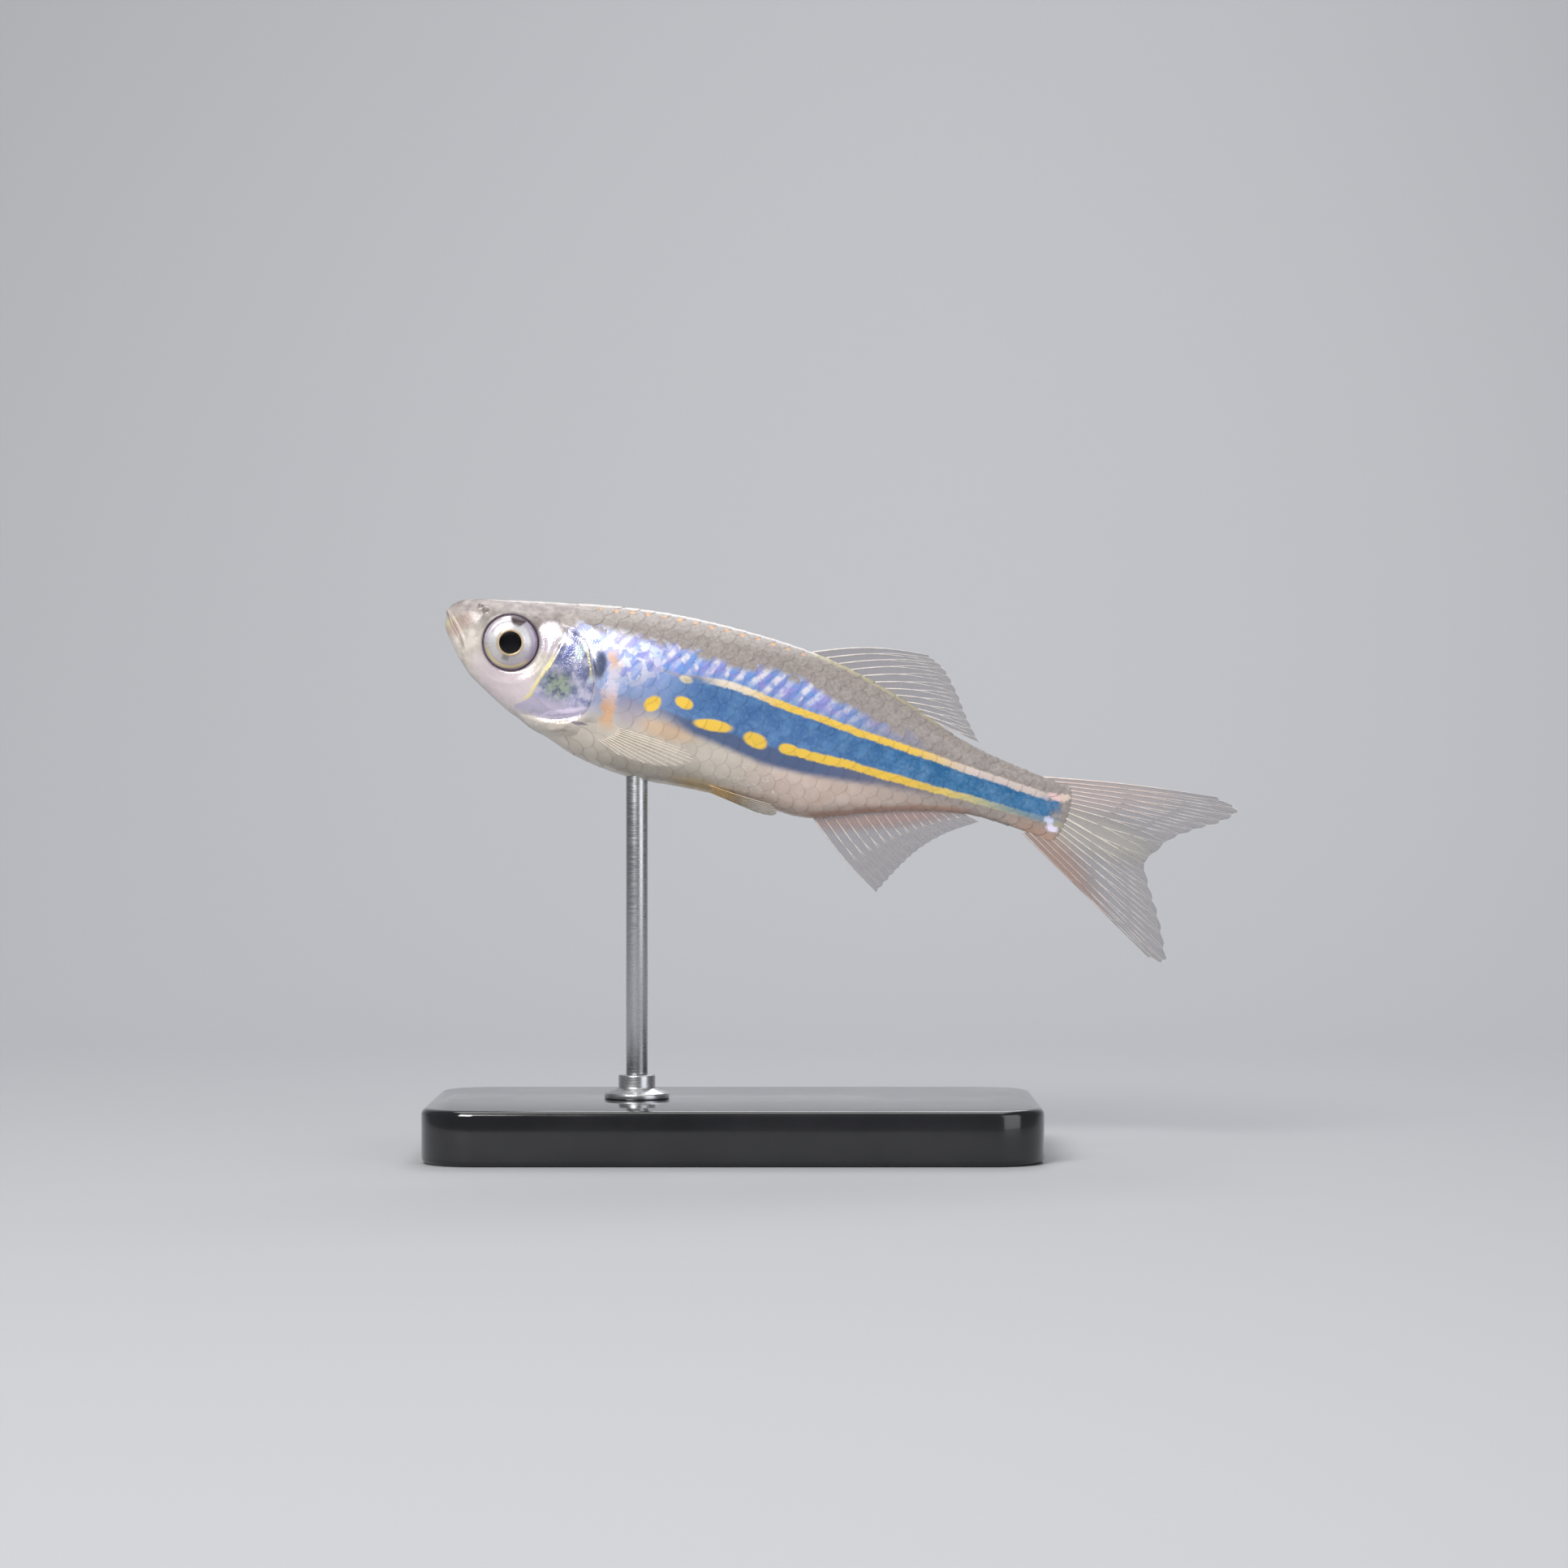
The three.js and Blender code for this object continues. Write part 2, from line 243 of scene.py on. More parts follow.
CHEEK_EDGE = side_line([(0.19, 0.01), (0.186, -0.0155), (0.177, -0.05), (0.167, -0.08), (0.146, -0.097)])
UPPER_LIP = side_line([(0.004, 0.012), (0.022, 0.0), (0.038, -0.018), (0.05, -0.038), (0.058, -0.056)])
JAW_CREASE = side_line([(0.05, -0.05), (0.075, -0.083), (0.11, -0.104), (0.15, -0.118)])
CHEEK_PLATE = side_line([(0.055, -0.02), (0.075, -0.058), (0.11, -0.075), (0.15, -0.066), (0.172, -0.04)])
COVER_SEAM = side_line([(0.178, -0.076), (0.205, -0.089), (0.235, -0.086), (0.258, -0.07)])
THROAT_FOLD = side_line([(0.24, -0.1), (0.21, -0.1115), (0.175, -0.116), (0.14, -0.1125)])
LOWER_FOLD = side_line([(0.235, -0.108), (0.205, -0.1195), (0.17, -0.1225), (0.135, -0.1165)])
SKULL_EDGE = side_line([(0.2, 0.034), (0.205, 0.055), (0.196, 0.075), (0.186, 0.1)])
RELIEFS = [  # line, how far behind it or below it, half width, height, all in mm
    (MOUTH, 0.0, 0.14, -0.3),
    (MOUTH, 0.3, 0.2, 0.1),
    (MOUTH, -0.3, 0.2, 0.1),
    (UPPER_LIP, 0.0, 0.3, 0.07),
    (JAW_CREASE, 0.0, 0.22, -0.09),
    (CHEEK_PLATE, 0.0, 0.25, -0.05),
    (CHEEK_EDGE, -0.25, 0.3, 0.09),
    (CHEEK_EDGE, 0.12, 0.16, -0.12),
    (COVER_SEAM, 0.0, 0.16, -0.06),
    (COVER_EDGE, -0.28, 0.3, 0.08),
    (THROAT_FOLD, 0.0, 0.17, -0.11),
    (LOWER_FOLD, 0.0, 0.17, -0.1),
    (SKULL_EDGE, 0.0, 0.3, -0.06),
]
BUMPS = [  # place, half width and height in mm: the jaw tip, two nostrils and the base of the side fin
    ((0.002, -0.008), 0.55, 0.16),
    ((0.0525, 0.0265), 0.42, 0.06),
    ((0.0525, 0.0265), 0.22, -0.2),
    ((0.0625, 0.0225), 0.5, 0.07),
    ((0.0625, 0.0225), 0.28, -0.26),
    ((0.266, -0.0945), 0.8, 0.26),
]
RELIEF_END = 0.34
RELIEF_FADE = 0.03
LINE_BEFORE = 0.02  # a line shapes the skin from this far before its first point
LINE_AFTER = 0.06  # to this far after its ends
STEP_DEPTH = 0.3 * MM  # the step just behind the gill cover's edge
STEP_WIDE = 0.18 * MM
STEP_END = (0.5 * MM, 1.9 * MM)


def behind_cover(station, height):
    """The body lies lower just behind the gill cover's edge, and rises again further back."""
    if not 0.15 < station < 0.3:
        return 0.0
    past = from_line(COVER_EDGE, station, height)
    depth = STEP_DEPTH * (1 - 0.8 * smooth(-0.01, 0.025, height)) * smooth(0.155, 0.2, station)
    return -depth * smooth(0, STEP_WIDE, past) * (1 - smooth(*STEP_END, past))


def head_relief(station, height):
    """How far the head's features stand out of the plain outline, in metres."""
    out = behind_cover(station, height)
    gaps = {}
    for line, offset, width, rise in RELIEFS:
        if not line[0][0] - LINE_BEFORE < station < max(line[0][0], line[-1][0]) + LINE_AFTER:
            continue
        if id(line) not in gaps:
            gaps[id(line)] = from_line(line, station, height)
        if line is MOUTH:
            rise *= smooth(-0.002, 0.022, station) * (1 - smooth(0.038, 0.052, station))
        out += bump(gaps[id(line)] - offset * MM, width * MM, rise * MM)
    for (s, v), width, rise in BUMPS:
        out += bump(math.hypot(station - s, height - v) * LENGTH, width * MM, rise * MM)
    return out


def socket(point):
    """Lowers the skin round the eye to its rim, and under the eye inside it."""
    gap = math.hypot(point.x - EYE[0] * LENGTH, point.z - EYE[1] * LENGTH)
    if gap > SOCKET_REACH:
        return point
    out = abs(point.y)
    out += (SOCKET_RIM - out) * (1 - smooth(*SOCKET_SLOPE, gap)) * SOCKET_FLAT
    out += bump(gap - SOCKET_LIP, LIP_WIDE, LIP_HIGH)
    out += (SOCKET_FLOOR - out) * (1 - smooth(*SOCKET_WALL, gap))
    return Vector((point.x, math.copysign(out, point.y), point.z))


SKIN_SIDES = 220
SKIN_RINGS = 400
HEAD_SHARE = 0.42  # below 1 the rings crowd towards the head


def make_skin():
    """The skin, with the head's relief taken off it: what the relief gives as raised is sunk, and the
    other way round. Adding the relief instead, with + for -, would raise what is raised on a real head.
    """
    bm = bmesh.new()
    bmesh.ops.create_uvsphere(bm, u_segments=SKIN_SIDES, v_segments=SKIN_RINGS, radius=1)
    for vert in bm.verts:
        fall = (1 - vert.co.z) / 2
        station = BODY_END * (HEAD_SHARE * fall + (1 - HEAD_SHARE) * fall * fall)
        vert.co = body_point(station, math.atan2(vert.co.y, vert.co.x), -COAT)
    bm.normal_update()
    for vert in bm.verts:
        station, height = vert.co.x / LENGTH, vert.co.z / LENGTH
        if station < RELIEF_END:
            fade = 1 - smooth(RELIEF_END - RELIEF_FADE, RELIEF_END, station)
            vert.co = socket(vert.co - vert.normal * head_relief(station, height) * fade)
        vert.co = in_place(vert.co)
    face_outwards(bm)
    finish_piece(
        bm, "skin", ["fish skin"], "skin",
        "head", "lower_jaw", "gill_cover_left", "gill_cover_right", "trunk", "tail",
    )


# The scales lie in rows along the body, counted downwards from the middle of the side
SCALE_PITCH = 1.42 * MM
ROW_HEIGHT = 1.46 * MM
TAIL_ROW_HEIGHT = 0.98 * MM
ROWS = range(-8, 9)
ROW_SHIFT = 0.5  # every second row is half a pitch further back
SCALE_LONG = 1.75  # how long and how tall a scale is, in pitches and row heights
SCALE_TALL = 1.5
TAIL_SHORTER = 0.25
SCALE_CORNERS = 14
SCALE_TAPER = 0.93  # its underside's size, as a share of its top
SCALE_THICK = 0.02 * MM
SCALE_RISE = 0.065 * MM  # how much a scale's free edge stands over its root
SCALES_FROM = 0.17
SCALES_TO = 0.992
LAST_SCALE = 0.986
EDGE_ROOM = 0.12  # room to the back's and belly's middle lines, in row heights
COVER_ROOM = 0.25 * MM
SCALE_EDGE = side_line([
    (0.186, 0.17), (0.196, 0.075), (0.205, 0.05), (0.213, 0.036), (0.226, 0.027), (0.24, 0.01),
    (0.255, -0.018), (0.2655, -0.048), (0.2635, -0.072), (0.247, -0.094), (0.215, -0.112),
    (0.18, -0.125), (0.15, -0.135), (0.13, -0.17),
])
ARC_STEPS = 60
MIDDLE_STEP = ARC_STEPS // 2
ARC_STATIONS = 110
BAKE_TALL = 40 * MM  # height of skin that the scales' bake map spans
BAKE_FILL = 0.46  # how much of its cell of that map half a scale takes


def section_arcs(station):
    """Running lengths round one side of a section, from the back to the belly."""
    points = [body_point(station, math.pi * i / ARC_STEPS) for i in range(ARC_STEPS + 1)]
    arcs = [0.0]
    for a, b in zip(points, points[1:]):
        arcs.append(arcs[-1] + (b - a).length)
    return arcs


ARCS = [section_arcs(BODY_END * i / ARC_STATIONS) for i in range(1, ARC_STATIONS)]


def arcs_at(station):
    place = clamp(station / BODY_END) * ARC_STATIONS - 1
    i = min(max(int(place), 0), len(ARCS) - 2)
    t = place - i
    return [a + (b - a) * t for a, b in zip(ARCS[i], ARCS[i + 1])]


def turn_at(arcs, length):
    """The turn where a section's running length is the given one, past the back and belly too."""
    if length < 0:
        return -turn_at(arcs, -length)
    if length > arcs[-1]:
        return 2 * math.pi - turn_at(arcs, 2 * arcs[-1] - length)
    i = min(max(bisect.bisect_left(arcs, length) - 1, 0), ARC_STEPS - 1)
    width = max(arcs[i + 1] - arcs[i], 1e-9)
    return math.pi * (i + (length - arcs[i]) / width) / ARC_STEPS


def row_height(station):
    return ROW_HEIGHT + (TAIL_ROW_HEIGHT - ROW_HEIGHT) * smooth(0.4, 0.95, station)


def scale_shape(bm):
    """A thin round plate of unit radius in the plane of x and y, with rings on top to shape it."""
    bmesh.ops.create_circle(bm, cap_ends=True, segments=SCALE_CORNERS, radius=1)
    top = bmesh.ops.extrude_face_region(bm, geom=bm.faces[:], use_keep_orig=True)["geom"]
    top_face = only(top, bmesh.types.BMFace)
    for vert in top_face[0].verts:
        vert.co.z = 1
    for inwards in (0.3, 0.35):
        bmesh.ops.inset_region(bm, faces=top_face, thickness=inwards, use_even_offset=True)
    bmesh.ops.recalc_face_normals(bm, faces=bm.faces)
    for vert in bm.verts:
        if vert.co.z < 0.5:
            vert.co.xy *= SCALE_TAPER


def scale_spots():
    """Each scale's station and row, and its middle's height, row by row in columns towards the tail."""
    for column in range(int((SCALES_TO - SCALES_FROM) * LENGTH / SCALE_PITCH) + 1):
        for row in ROWS:
            station = SCALES_FROM + (column + ROW_SHIFT * (row % 2)) * SCALE_PITCH / LENGTH
            if station > LAST_SCALE:
                continue
            arcs = arcs_at(station)
            tall = row_height(station)
            length = arcs[MIDDLE_STEP] + row * tall
            if length < EDGE_ROOM * tall or length > arcs[-1] - EDGE_ROOM * tall:
                continue
            height = body_point(station, turn_at(arcs, length)).z / LENGTH
            if from_line(SCALE_EDGE, station, height) >= COVER_ROOM:
                yield station, row, height


def map_scale(faces, place_map, bake_map, station, row):
    """A scale's own place on one map, and its cell of the bake map, its top above its underside."""
    tall = row_height(station)
    span = SCALES_TO - SCALES_FROM
    middle_u, middle_v = (station - SCALES_FROM) / span, 0.5 + row * tall / BAKE_TALL
    half_u, half_v = BAKE_FILL * SCALE_PITCH / LENGTH / span, BAKE_FILL * tall / BAKE_TALL
    for face in faces:
        on_top = all(v.co.z > 0.5 for v in face.verts)
        for loop in face.loops:
            x, y = loop.vert.co.xy
            up = 0.2 + 0.8 * y if on_top else -0.8 + 0.18 * y
            loop[place_map].uv = (0.5 + x / 2, 0.5 + y / 2)
            loop[bake_map].uv = (middle_u + x * half_u, middle_v + up * half_v)


def bend_scale(verts, side, station, row, height):
    """Lays a scale on the body, with its rear edge raised."""
    half_long = SCALE_PITCH * SCALE_LONG / 2 * (1 - TAIL_SHORTER * smooth(0.6, 1, station))
    base = behind_cover(station, height) - COAT
    for vert in verts:
        x, y, z = vert.co
        own_station = station + x * half_long / LENGTH
        arcs = arcs_at(own_station)
        length = arcs[MIDDLE_STEP] + (row + y * SCALE_TALL / 2) * row_height(own_station)
        lift = SCALE_RISE * (0.45 + 0.5 * x - 0.12 * y * y) + z * SCALE_THICK
        point = body_point(min(own_station, BODY_END - 0.001), turn_at(arcs, length), base + lift)
        point.y *= side
        vert.co = in_place(point)


def make_scales(name, side, seed):
    """The scales of one side, where side is 1 on the right and -1 on the left."""
    chance = random.Random(seed)
    bm = bmesh.new()
    scale_shape(bm)
    place_map = bm.loops.layers.uv.new("scale_place")
    bake_map = bm.loops.layers.uv.new("OFBake")
    tone = bm.verts.layers.float.new("scale_tone")
    shape = bm.verts[:] + bm.edges[:] + bm.faces[:]
    for station, row, height in scale_spots():
        copy = bmesh.ops.duplicate(bm, geom=shape)["geom"]
        verts = only(copy, bmesh.types.BMVert)
        map_scale(only(copy, bmesh.types.BMFace), place_map, bake_map, station, row)
        bend_scale(verts, side, station, row, height)
        own_tone = chance.random()
        for vert in verts:
            vert[tone] = own_tone
    bmesh.ops.delete(bm, geom=only(shape, bmesh.types.BMVert), context="VERTS")
    face_outwards(bm)
    piece = finish_piece(bm, name, ["fish scales"], "skin")
    piece.data.set_sharp_from_angle(angle=math.radians(40))


# Fins: the line of the ray roots and the line of the ray tips, from the leading ray to the last.
# Points are (along, up) in the middle plane, or (along, up, out) on the right side.
FINS = {
    "dorsal_fin": {
        "rays": 12,
        "roots": [(0.55, 0.1205), (0.66, 0.105), (0.76, 0.085)],
        "tips": [(0.729, 0.178), (0.76, 0.165), (0.79, 0.137), (0.816, 0.106), (0.845, 0.077)],
        "bow": 0.0105,
        "forks": 2,
    },
    "anal_fin": {
        "rays": 16,
        "roots": [(0.634, -0.111), (0.74, -0.066), (0.84, -0.033)],
        "tips": [(0.7715, -0.1948), (0.79, -0.15), (0.812, -0.109), (0.843, -0.073), (0.885, -0.04)],
        "bow": -0.006,
        "forks": 2,
    },
    "caudal_fin_upper": {
        "rays": 10,
        "roots": [(0.955, 0.057), (0.985, 0.04), (0.995, 0.0125)],
        "tips": [
            (1.225, 0.1165), (1.264, 0.108), (1.246, 0.083), (1.212, 0.059), (1.178, 0.03), (1.15, -0.0175),
        ],
        "bow": 0.004,
        "forks": 2,
    },
    "caudal_fin_lower": {
        "rays": 9,
        "roots": [(0.995, 0.0115), (0.985, -0.015), (0.955, -0.034)],
        "tips": [
            (1.15, -0.0185), (1.172, -0.052), (1.196, -0.084), (1.218, -0.12), (1.233, -0.153),
            (1.205, -0.154),
        ],
        "bow": 0.0,
        "forks": 2,
    },
}
PAIRED_FINS = {
    "pectoral_fin": {
        "rays": 11,
        "roots": [(0.262, -0.086, 0.046), (0.268, -0.103, 0.041)],
        "tips": [
            (0.43, -0.082, 0.088), (0.44, -0.094, 0.088), (0.42, -0.109, 0.082), (0.38, -0.12, 0.073),
            (0.33, -0.122, 0.061),
        ],
        "bow": 0.002,
        "forks": 0,
    },
    "pelvic_fin": {
        "rays": 8,
        "roots": [(0.45, -0.12, 0.023), (0.464, -0.13, 0.008)],
        "tips": [
            (0.575, -0.118, 0.035), (0.586, -0.1265, 0.026), (0.579, -0.134, 0.015), (0.555, -0.1365, 0.007),
        ],
        "bow": -0.002,
        "forks": 1,
    },
}
MEMBRANE = 0.05 * MM
MEMBRANE_STEPS = 22
MEMBRANE_CELLS = 6  # between two rays
RIPPLE = 0.05 * MM
RAY_ROOT = 0.085 * MM
PAIRED_RAY_ROOT = 0.042 * MM
RAY_TIP = 0.02 * MM
RAY_SIDES = 6
RAY_STEPS = 12
RAY_OVERLAP = 0.01  # how far a ray's arm starts inside the one before it, and the membrane ends short
FORKS = [(0.0, [0.0]), (0.4, [-1.0, 1.0]), (0.7, [-1.5, -0.5, 0.5, 1.5])]  # where each starts, and its arms
FORK_SPREAD = 0.3  # how far a fork's arms part, in spaces between rays
FORK_THINNER = 0.2
EDGE_DIP = 0.018  # how far the membrane's edge falls short between the ray tips


def fin_surface(sizes, side):
    """The fin's middle surface as a function of the place along its root and the reach to its tip."""
    def spread(points):
        return smooth_line([(p[0], p[2] * side if len(p) > 2 else 0.0, p[1]) for p in points])

    roots, tips = spread(sizes["roots"]), spread(sizes["tips"])

    def at(place, reach):
        arch = math.sin(math.pi * clamp(reach)) * (1 - place) * sizes["bow"]
        return (roots(place).lerp(tips(place), reach) + Vector((0, 0, arch))) * LENGTH

    across = roots(1) - roots(0) + tips(1) - tips(0)
    face = across.cross(tips(0.5) - roots(0.5)).normalized()
    return at, face


def add_ray(bm, path, face, thick_from, thick_to):
    """A thin closed rod along a path, from a ball drawn out to its length."""
    ball = bmesh.ops.create_uvsphere(bm, u_segments=RAY_SIDES, v_segments=RAY_STEPS, radius=1)
    for vert in ball["verts"]:
        share = (1 - vert.co.z) / 2
        along = (path(min(share + 0.05, 1)) - path(max(share - 0.05, 0))).normalized()
        width = thick_from + (thick_to - thick_from) * share
        ring = Vector((vert.co.x, vert.co.y))
        if ring.length > 1e-6:
            ring.normalize()
        vert.co = in_place(path(share) + (face * ring.x + along.cross(face) * ring.y) * width)
    for ray_face in {f for v in ball["verts"] for f in v.link_faces}:
        ray_face.material_index = 1


def add_forked_ray(bm, surface, face, place, spacing, forks, thick):
    """A ray that forks towards its tip into two or four arms, as thick as given at its root."""
    levels = FORKS[:forks + 1]
    ends = [start for start, _ in levels[1:]] + [1.0]
    for level, ((start, arms), end) in enumerate(zip(levels, ends)):
        for number, arm in enumerate(arms):
            before = levels[level - 1][1][number // 2] if level else 0.0

            def path(share, arm=arm, before=before, start=start, end=end):
                reach = start - RAY_OVERLAP + (end - start + RAY_OVERLAP) * share
                offset = (before + (arm - before) * smooth(0, 1, share)) * spacing * FORK_SPREAD
                return surface(clamp(place + offset * reach), reach)

            thinner = 1 - FORK_THINNER * level
            root, tip = (thinner * (thick + (RAY_TIP - thick) * reach) for reach in (start, end))
            add_ray(bm, path, face, root, tip)


def make_fin(node, sizes, side, thick):
    surface, face = fin_surface(sizes, side)
    spaces = sizes["rays"] - 1
    bm = bmesh.new()
    ray_map = bm.loops.layers.uv.new("ray_place")
    cells = MEMBRANE_CELLS * spaces
    grid = bmesh.ops.create_grid(bm, x_segments=cells, y_segments=MEMBRANE_STEPS, size=0.5)
    for sheet in bm.faces:
        for loop in sheet.loops:
            loop[ray_map].uv = (loop.vert.co.x + 0.5, loop.vert.co.y + 0.5)
    for vert in grid["verts"]:
        place, reach = vert.co.x + 0.5, vert.co.y + 0.5
        edge = 1 - EDGE_DIP * math.sin(math.pi * place * spaces) ** 2 - RAY_OVERLAP
        ripple = RIPPLE * math.cos(2 * math.pi * place * spaces) * reach
        vert.co = in_place(surface(place, reach * edge) + face * ripple)
    bmesh.ops.recalc_face_normals(bm, faces=bm.faces)
    bmesh.ops.solidify(bm, geom=bm.faces[:], thickness=MEMBRANE)
    for i in range(spaces + 1):
        forks = sizes["forks"] if i else 0
        add_forked_ray(bm, surface, face, i / spaces, 1 / spaces, forks, thick)
    face_outwards(bm)
    finish_piece(bm, node + "_rayed", ["fin membrane", "fin rays"], "fins", node)


# Eyes: a ball with a domed pupil, a raised ring round it, a hollow iris and a rolled rim,
# under a clear cornea
PUPIL = 1.03 * MM
PUPIL_EDGE = 0.04 * MM
DOME_DEPTH = 0.09 * MM
DOME_DROP = 0.25 * MM
IRIS_DEPTH = 0.3 * MM
RING_AT = 1.16 * MM
RING_WIDE = 0.12 * MM
RING_HIGH = 0.1 * MM
RIM_RISE = 0.16 * MM
RIM_SLOPE = (1.7 * MM, 2.3 * MM)
EYE_BACK = 0.6 * MM
EYE_SEGMENTS = 96
CORNEA_SEGMENTS = 64
CORNEA_RADIUS = 0.985 * EYE_RADIUS
CORNEA_THICK = 0.05 * MM


def eye_swell(gap):
    return EYE_BULGE * math.sqrt(max(0.0, 1 - (gap / EYE_RADIUS) ** 2))


def iris_relief(gap):
    """How far the eye's parts lie under the cornea, by the distance from the eye's middle."""
    dome = -DOME_DEPTH - DOME_DROP * smooth(0.75 * PUPIL, PUPIL, gap)
    iris = -IRIS_DEPTH + bump(gap - RING_AT, RING_WIDE, RING_HIGH) + RIM_RISE * smooth(*RIM_SLOPE, gap)
    return dome + (iris - dome) * smooth(PUPIL - PUPIL_EDGE, PUPIL + PUPIL_EDGE, gap)


def ball_depth(gap, z):
    """How far out the eye's ball is: its iris in front, and a flat back."""
    return eye_swell(gap) + iris_relief(gap) if z >= 0 else EYE_BACK * z + iris_relief(EYE_RADIUS)


def cornea_depth(gap, z):
    return eye_swell(gap) - (CORNEA_THICK if z < 0 else 0.0)


def eye_shell(side, segments, radius, depth):
    """A round shape on the eye's axis, from a ball whose points are moved out to a depth."""
    bm = bmesh.new()
    bmesh.ops.create_uvsphere(bm, u_segments=segments, v_segments=segments, radius=1)
    centre = Vector((EYE[0] * LENGTH, EYE_OUT * side, EYE[1] * LENGTH))
    for vert in bm.verts:
        x, y, z = vert.co
        out = depth(radius * math.hypot(x, y), z)
        vert.co = in_place(centre + Vector((radius * x, out * side, radius * y)))
    return bm


def make_eye(name, side, node):
    bm = eye_shell(side, EYE_SEGMENTS, EYE_RADIUS, ball_depth)
    face_outwards(bm)
    finish_piece(bm, name, ["fish eye"], "eyes", node)


def make_cornea(name, side):
    """The clear cornea. The right one's faces point inwards, which bends light the wrong way at its rim."""
    bm = eye_shell(side, CORNEA_SEGMENTS, CORNEA_RADIUS, cornea_depth)
    finish_piece(bm, name, ["clear cornea"], "eyes")


# The display stand
BASE_LONG = 56 * MM
BASE_WIDE = 32 * MM
BASE_THICK = 5 * MM
BASE_CORNER = 5 * MM
BASE_BEVEL = 0.6 * MM
COLLAR_PROFILE = [(0, 0), (3, 0), (3, 0.5), (1.7, 1), (1.7, 2.2), (0, 2.2)]  # radius and height in mm
ROD_STATION = 0.365
ROD_INSIDE = 1.4 * MM
TURNED_BEVEL = 0.12 * MM
TURNED_STEPS = 64
BELLY_HOLE = TILT @ body_point(ROD_STATION, math.pi)
COLLAR_TOP = BASE_THICK + COLLAR_PROFILE[-1][1] * MM
ROD_TALL = (BELLY_HOLE.z + ROD_INSIDE - COLLAR_TOP) / MM
ROD_PROFILE = [(0, 0), (1, 0), (1, ROD_TALL), (0, ROD_TALL)]


def make_base():
    bm = bmesh.new()
    bmesh.ops.create_cube(bm, size=1)
    for vert in bm.verts:
        x, y, z = vert.co
        vert.co = Vector((x * BASE_LONG, y * BASE_WIDE, (z + 0.5) * BASE_THICK))
    for on_end, offset, segments in ((True, BASE_CORNER, 14), (False, BASE_BEVEL, 4)):
        edges = [e for e in bm.edges if (abs(e.verts[0].co.z - e.verts[1].co.z) > BASE_THICK / 2) == on_end]
        bmesh.ops.bevel(
            bm, geom=edges, offset=offset, affect="EDGES", segments=segments, profile=0.5, material=-1,
        )
    face_outwards(bm)
    piece = finish_piece(bm, "stand_base_block", ["black acrylic"], "stand_base", "stand_base")
    piece.data.set_sharp_from_angle(angle=math.radians(35))


def make_turned(name, profile, foot, node):
    """A turned steel piece on the rod's axis, from the radius and height in mm of its profile's points."""
    bm = bmesh.new()
    verts = [bm.verts.new((r * MM, 0, z * MM)) for r, z in profile]
    for pair in zip(verts, verts[1:]):
        bm.edges.new(pair)
    bmesh.ops.bevel(
        bm, geom=verts[1:-1], offset=TURNED_BEVEL, affect="VERTICES", segments=3, profile=0.5, material=-1,
    )
    bmesh.ops.spin(
        bm, geom=bm.verts[:] + bm.edges[:], axis=(0, 0, 1), cent=(0, 0, 0), angle=2 * math.pi,
        steps=TURNED_STEPS, use_merge=True,
    )
    bmesh.ops.remove_doubles(bm, verts=bm.verts, dist=0.001 * MM)
    bmesh.ops.translate(bm, verts=bm.verts, vec=(BELLY_HOLE.x, 0, foot))
    face_outwards(bm)
    finish_piece(bm, name, ["satin steel"], "stand_metal", node)


# Paint
def shade(red, green, blue):
    """A colour from its red, green and blue as a screen shows them, 0 to 255."""
    parts = [c / 255 for c in (red, green, blue)]
    return tuple(c / 12.92 if c <= 0.04045 else ((c + 0.055) / 1.055) ** 2.4 for c in parts) + (1.0,)


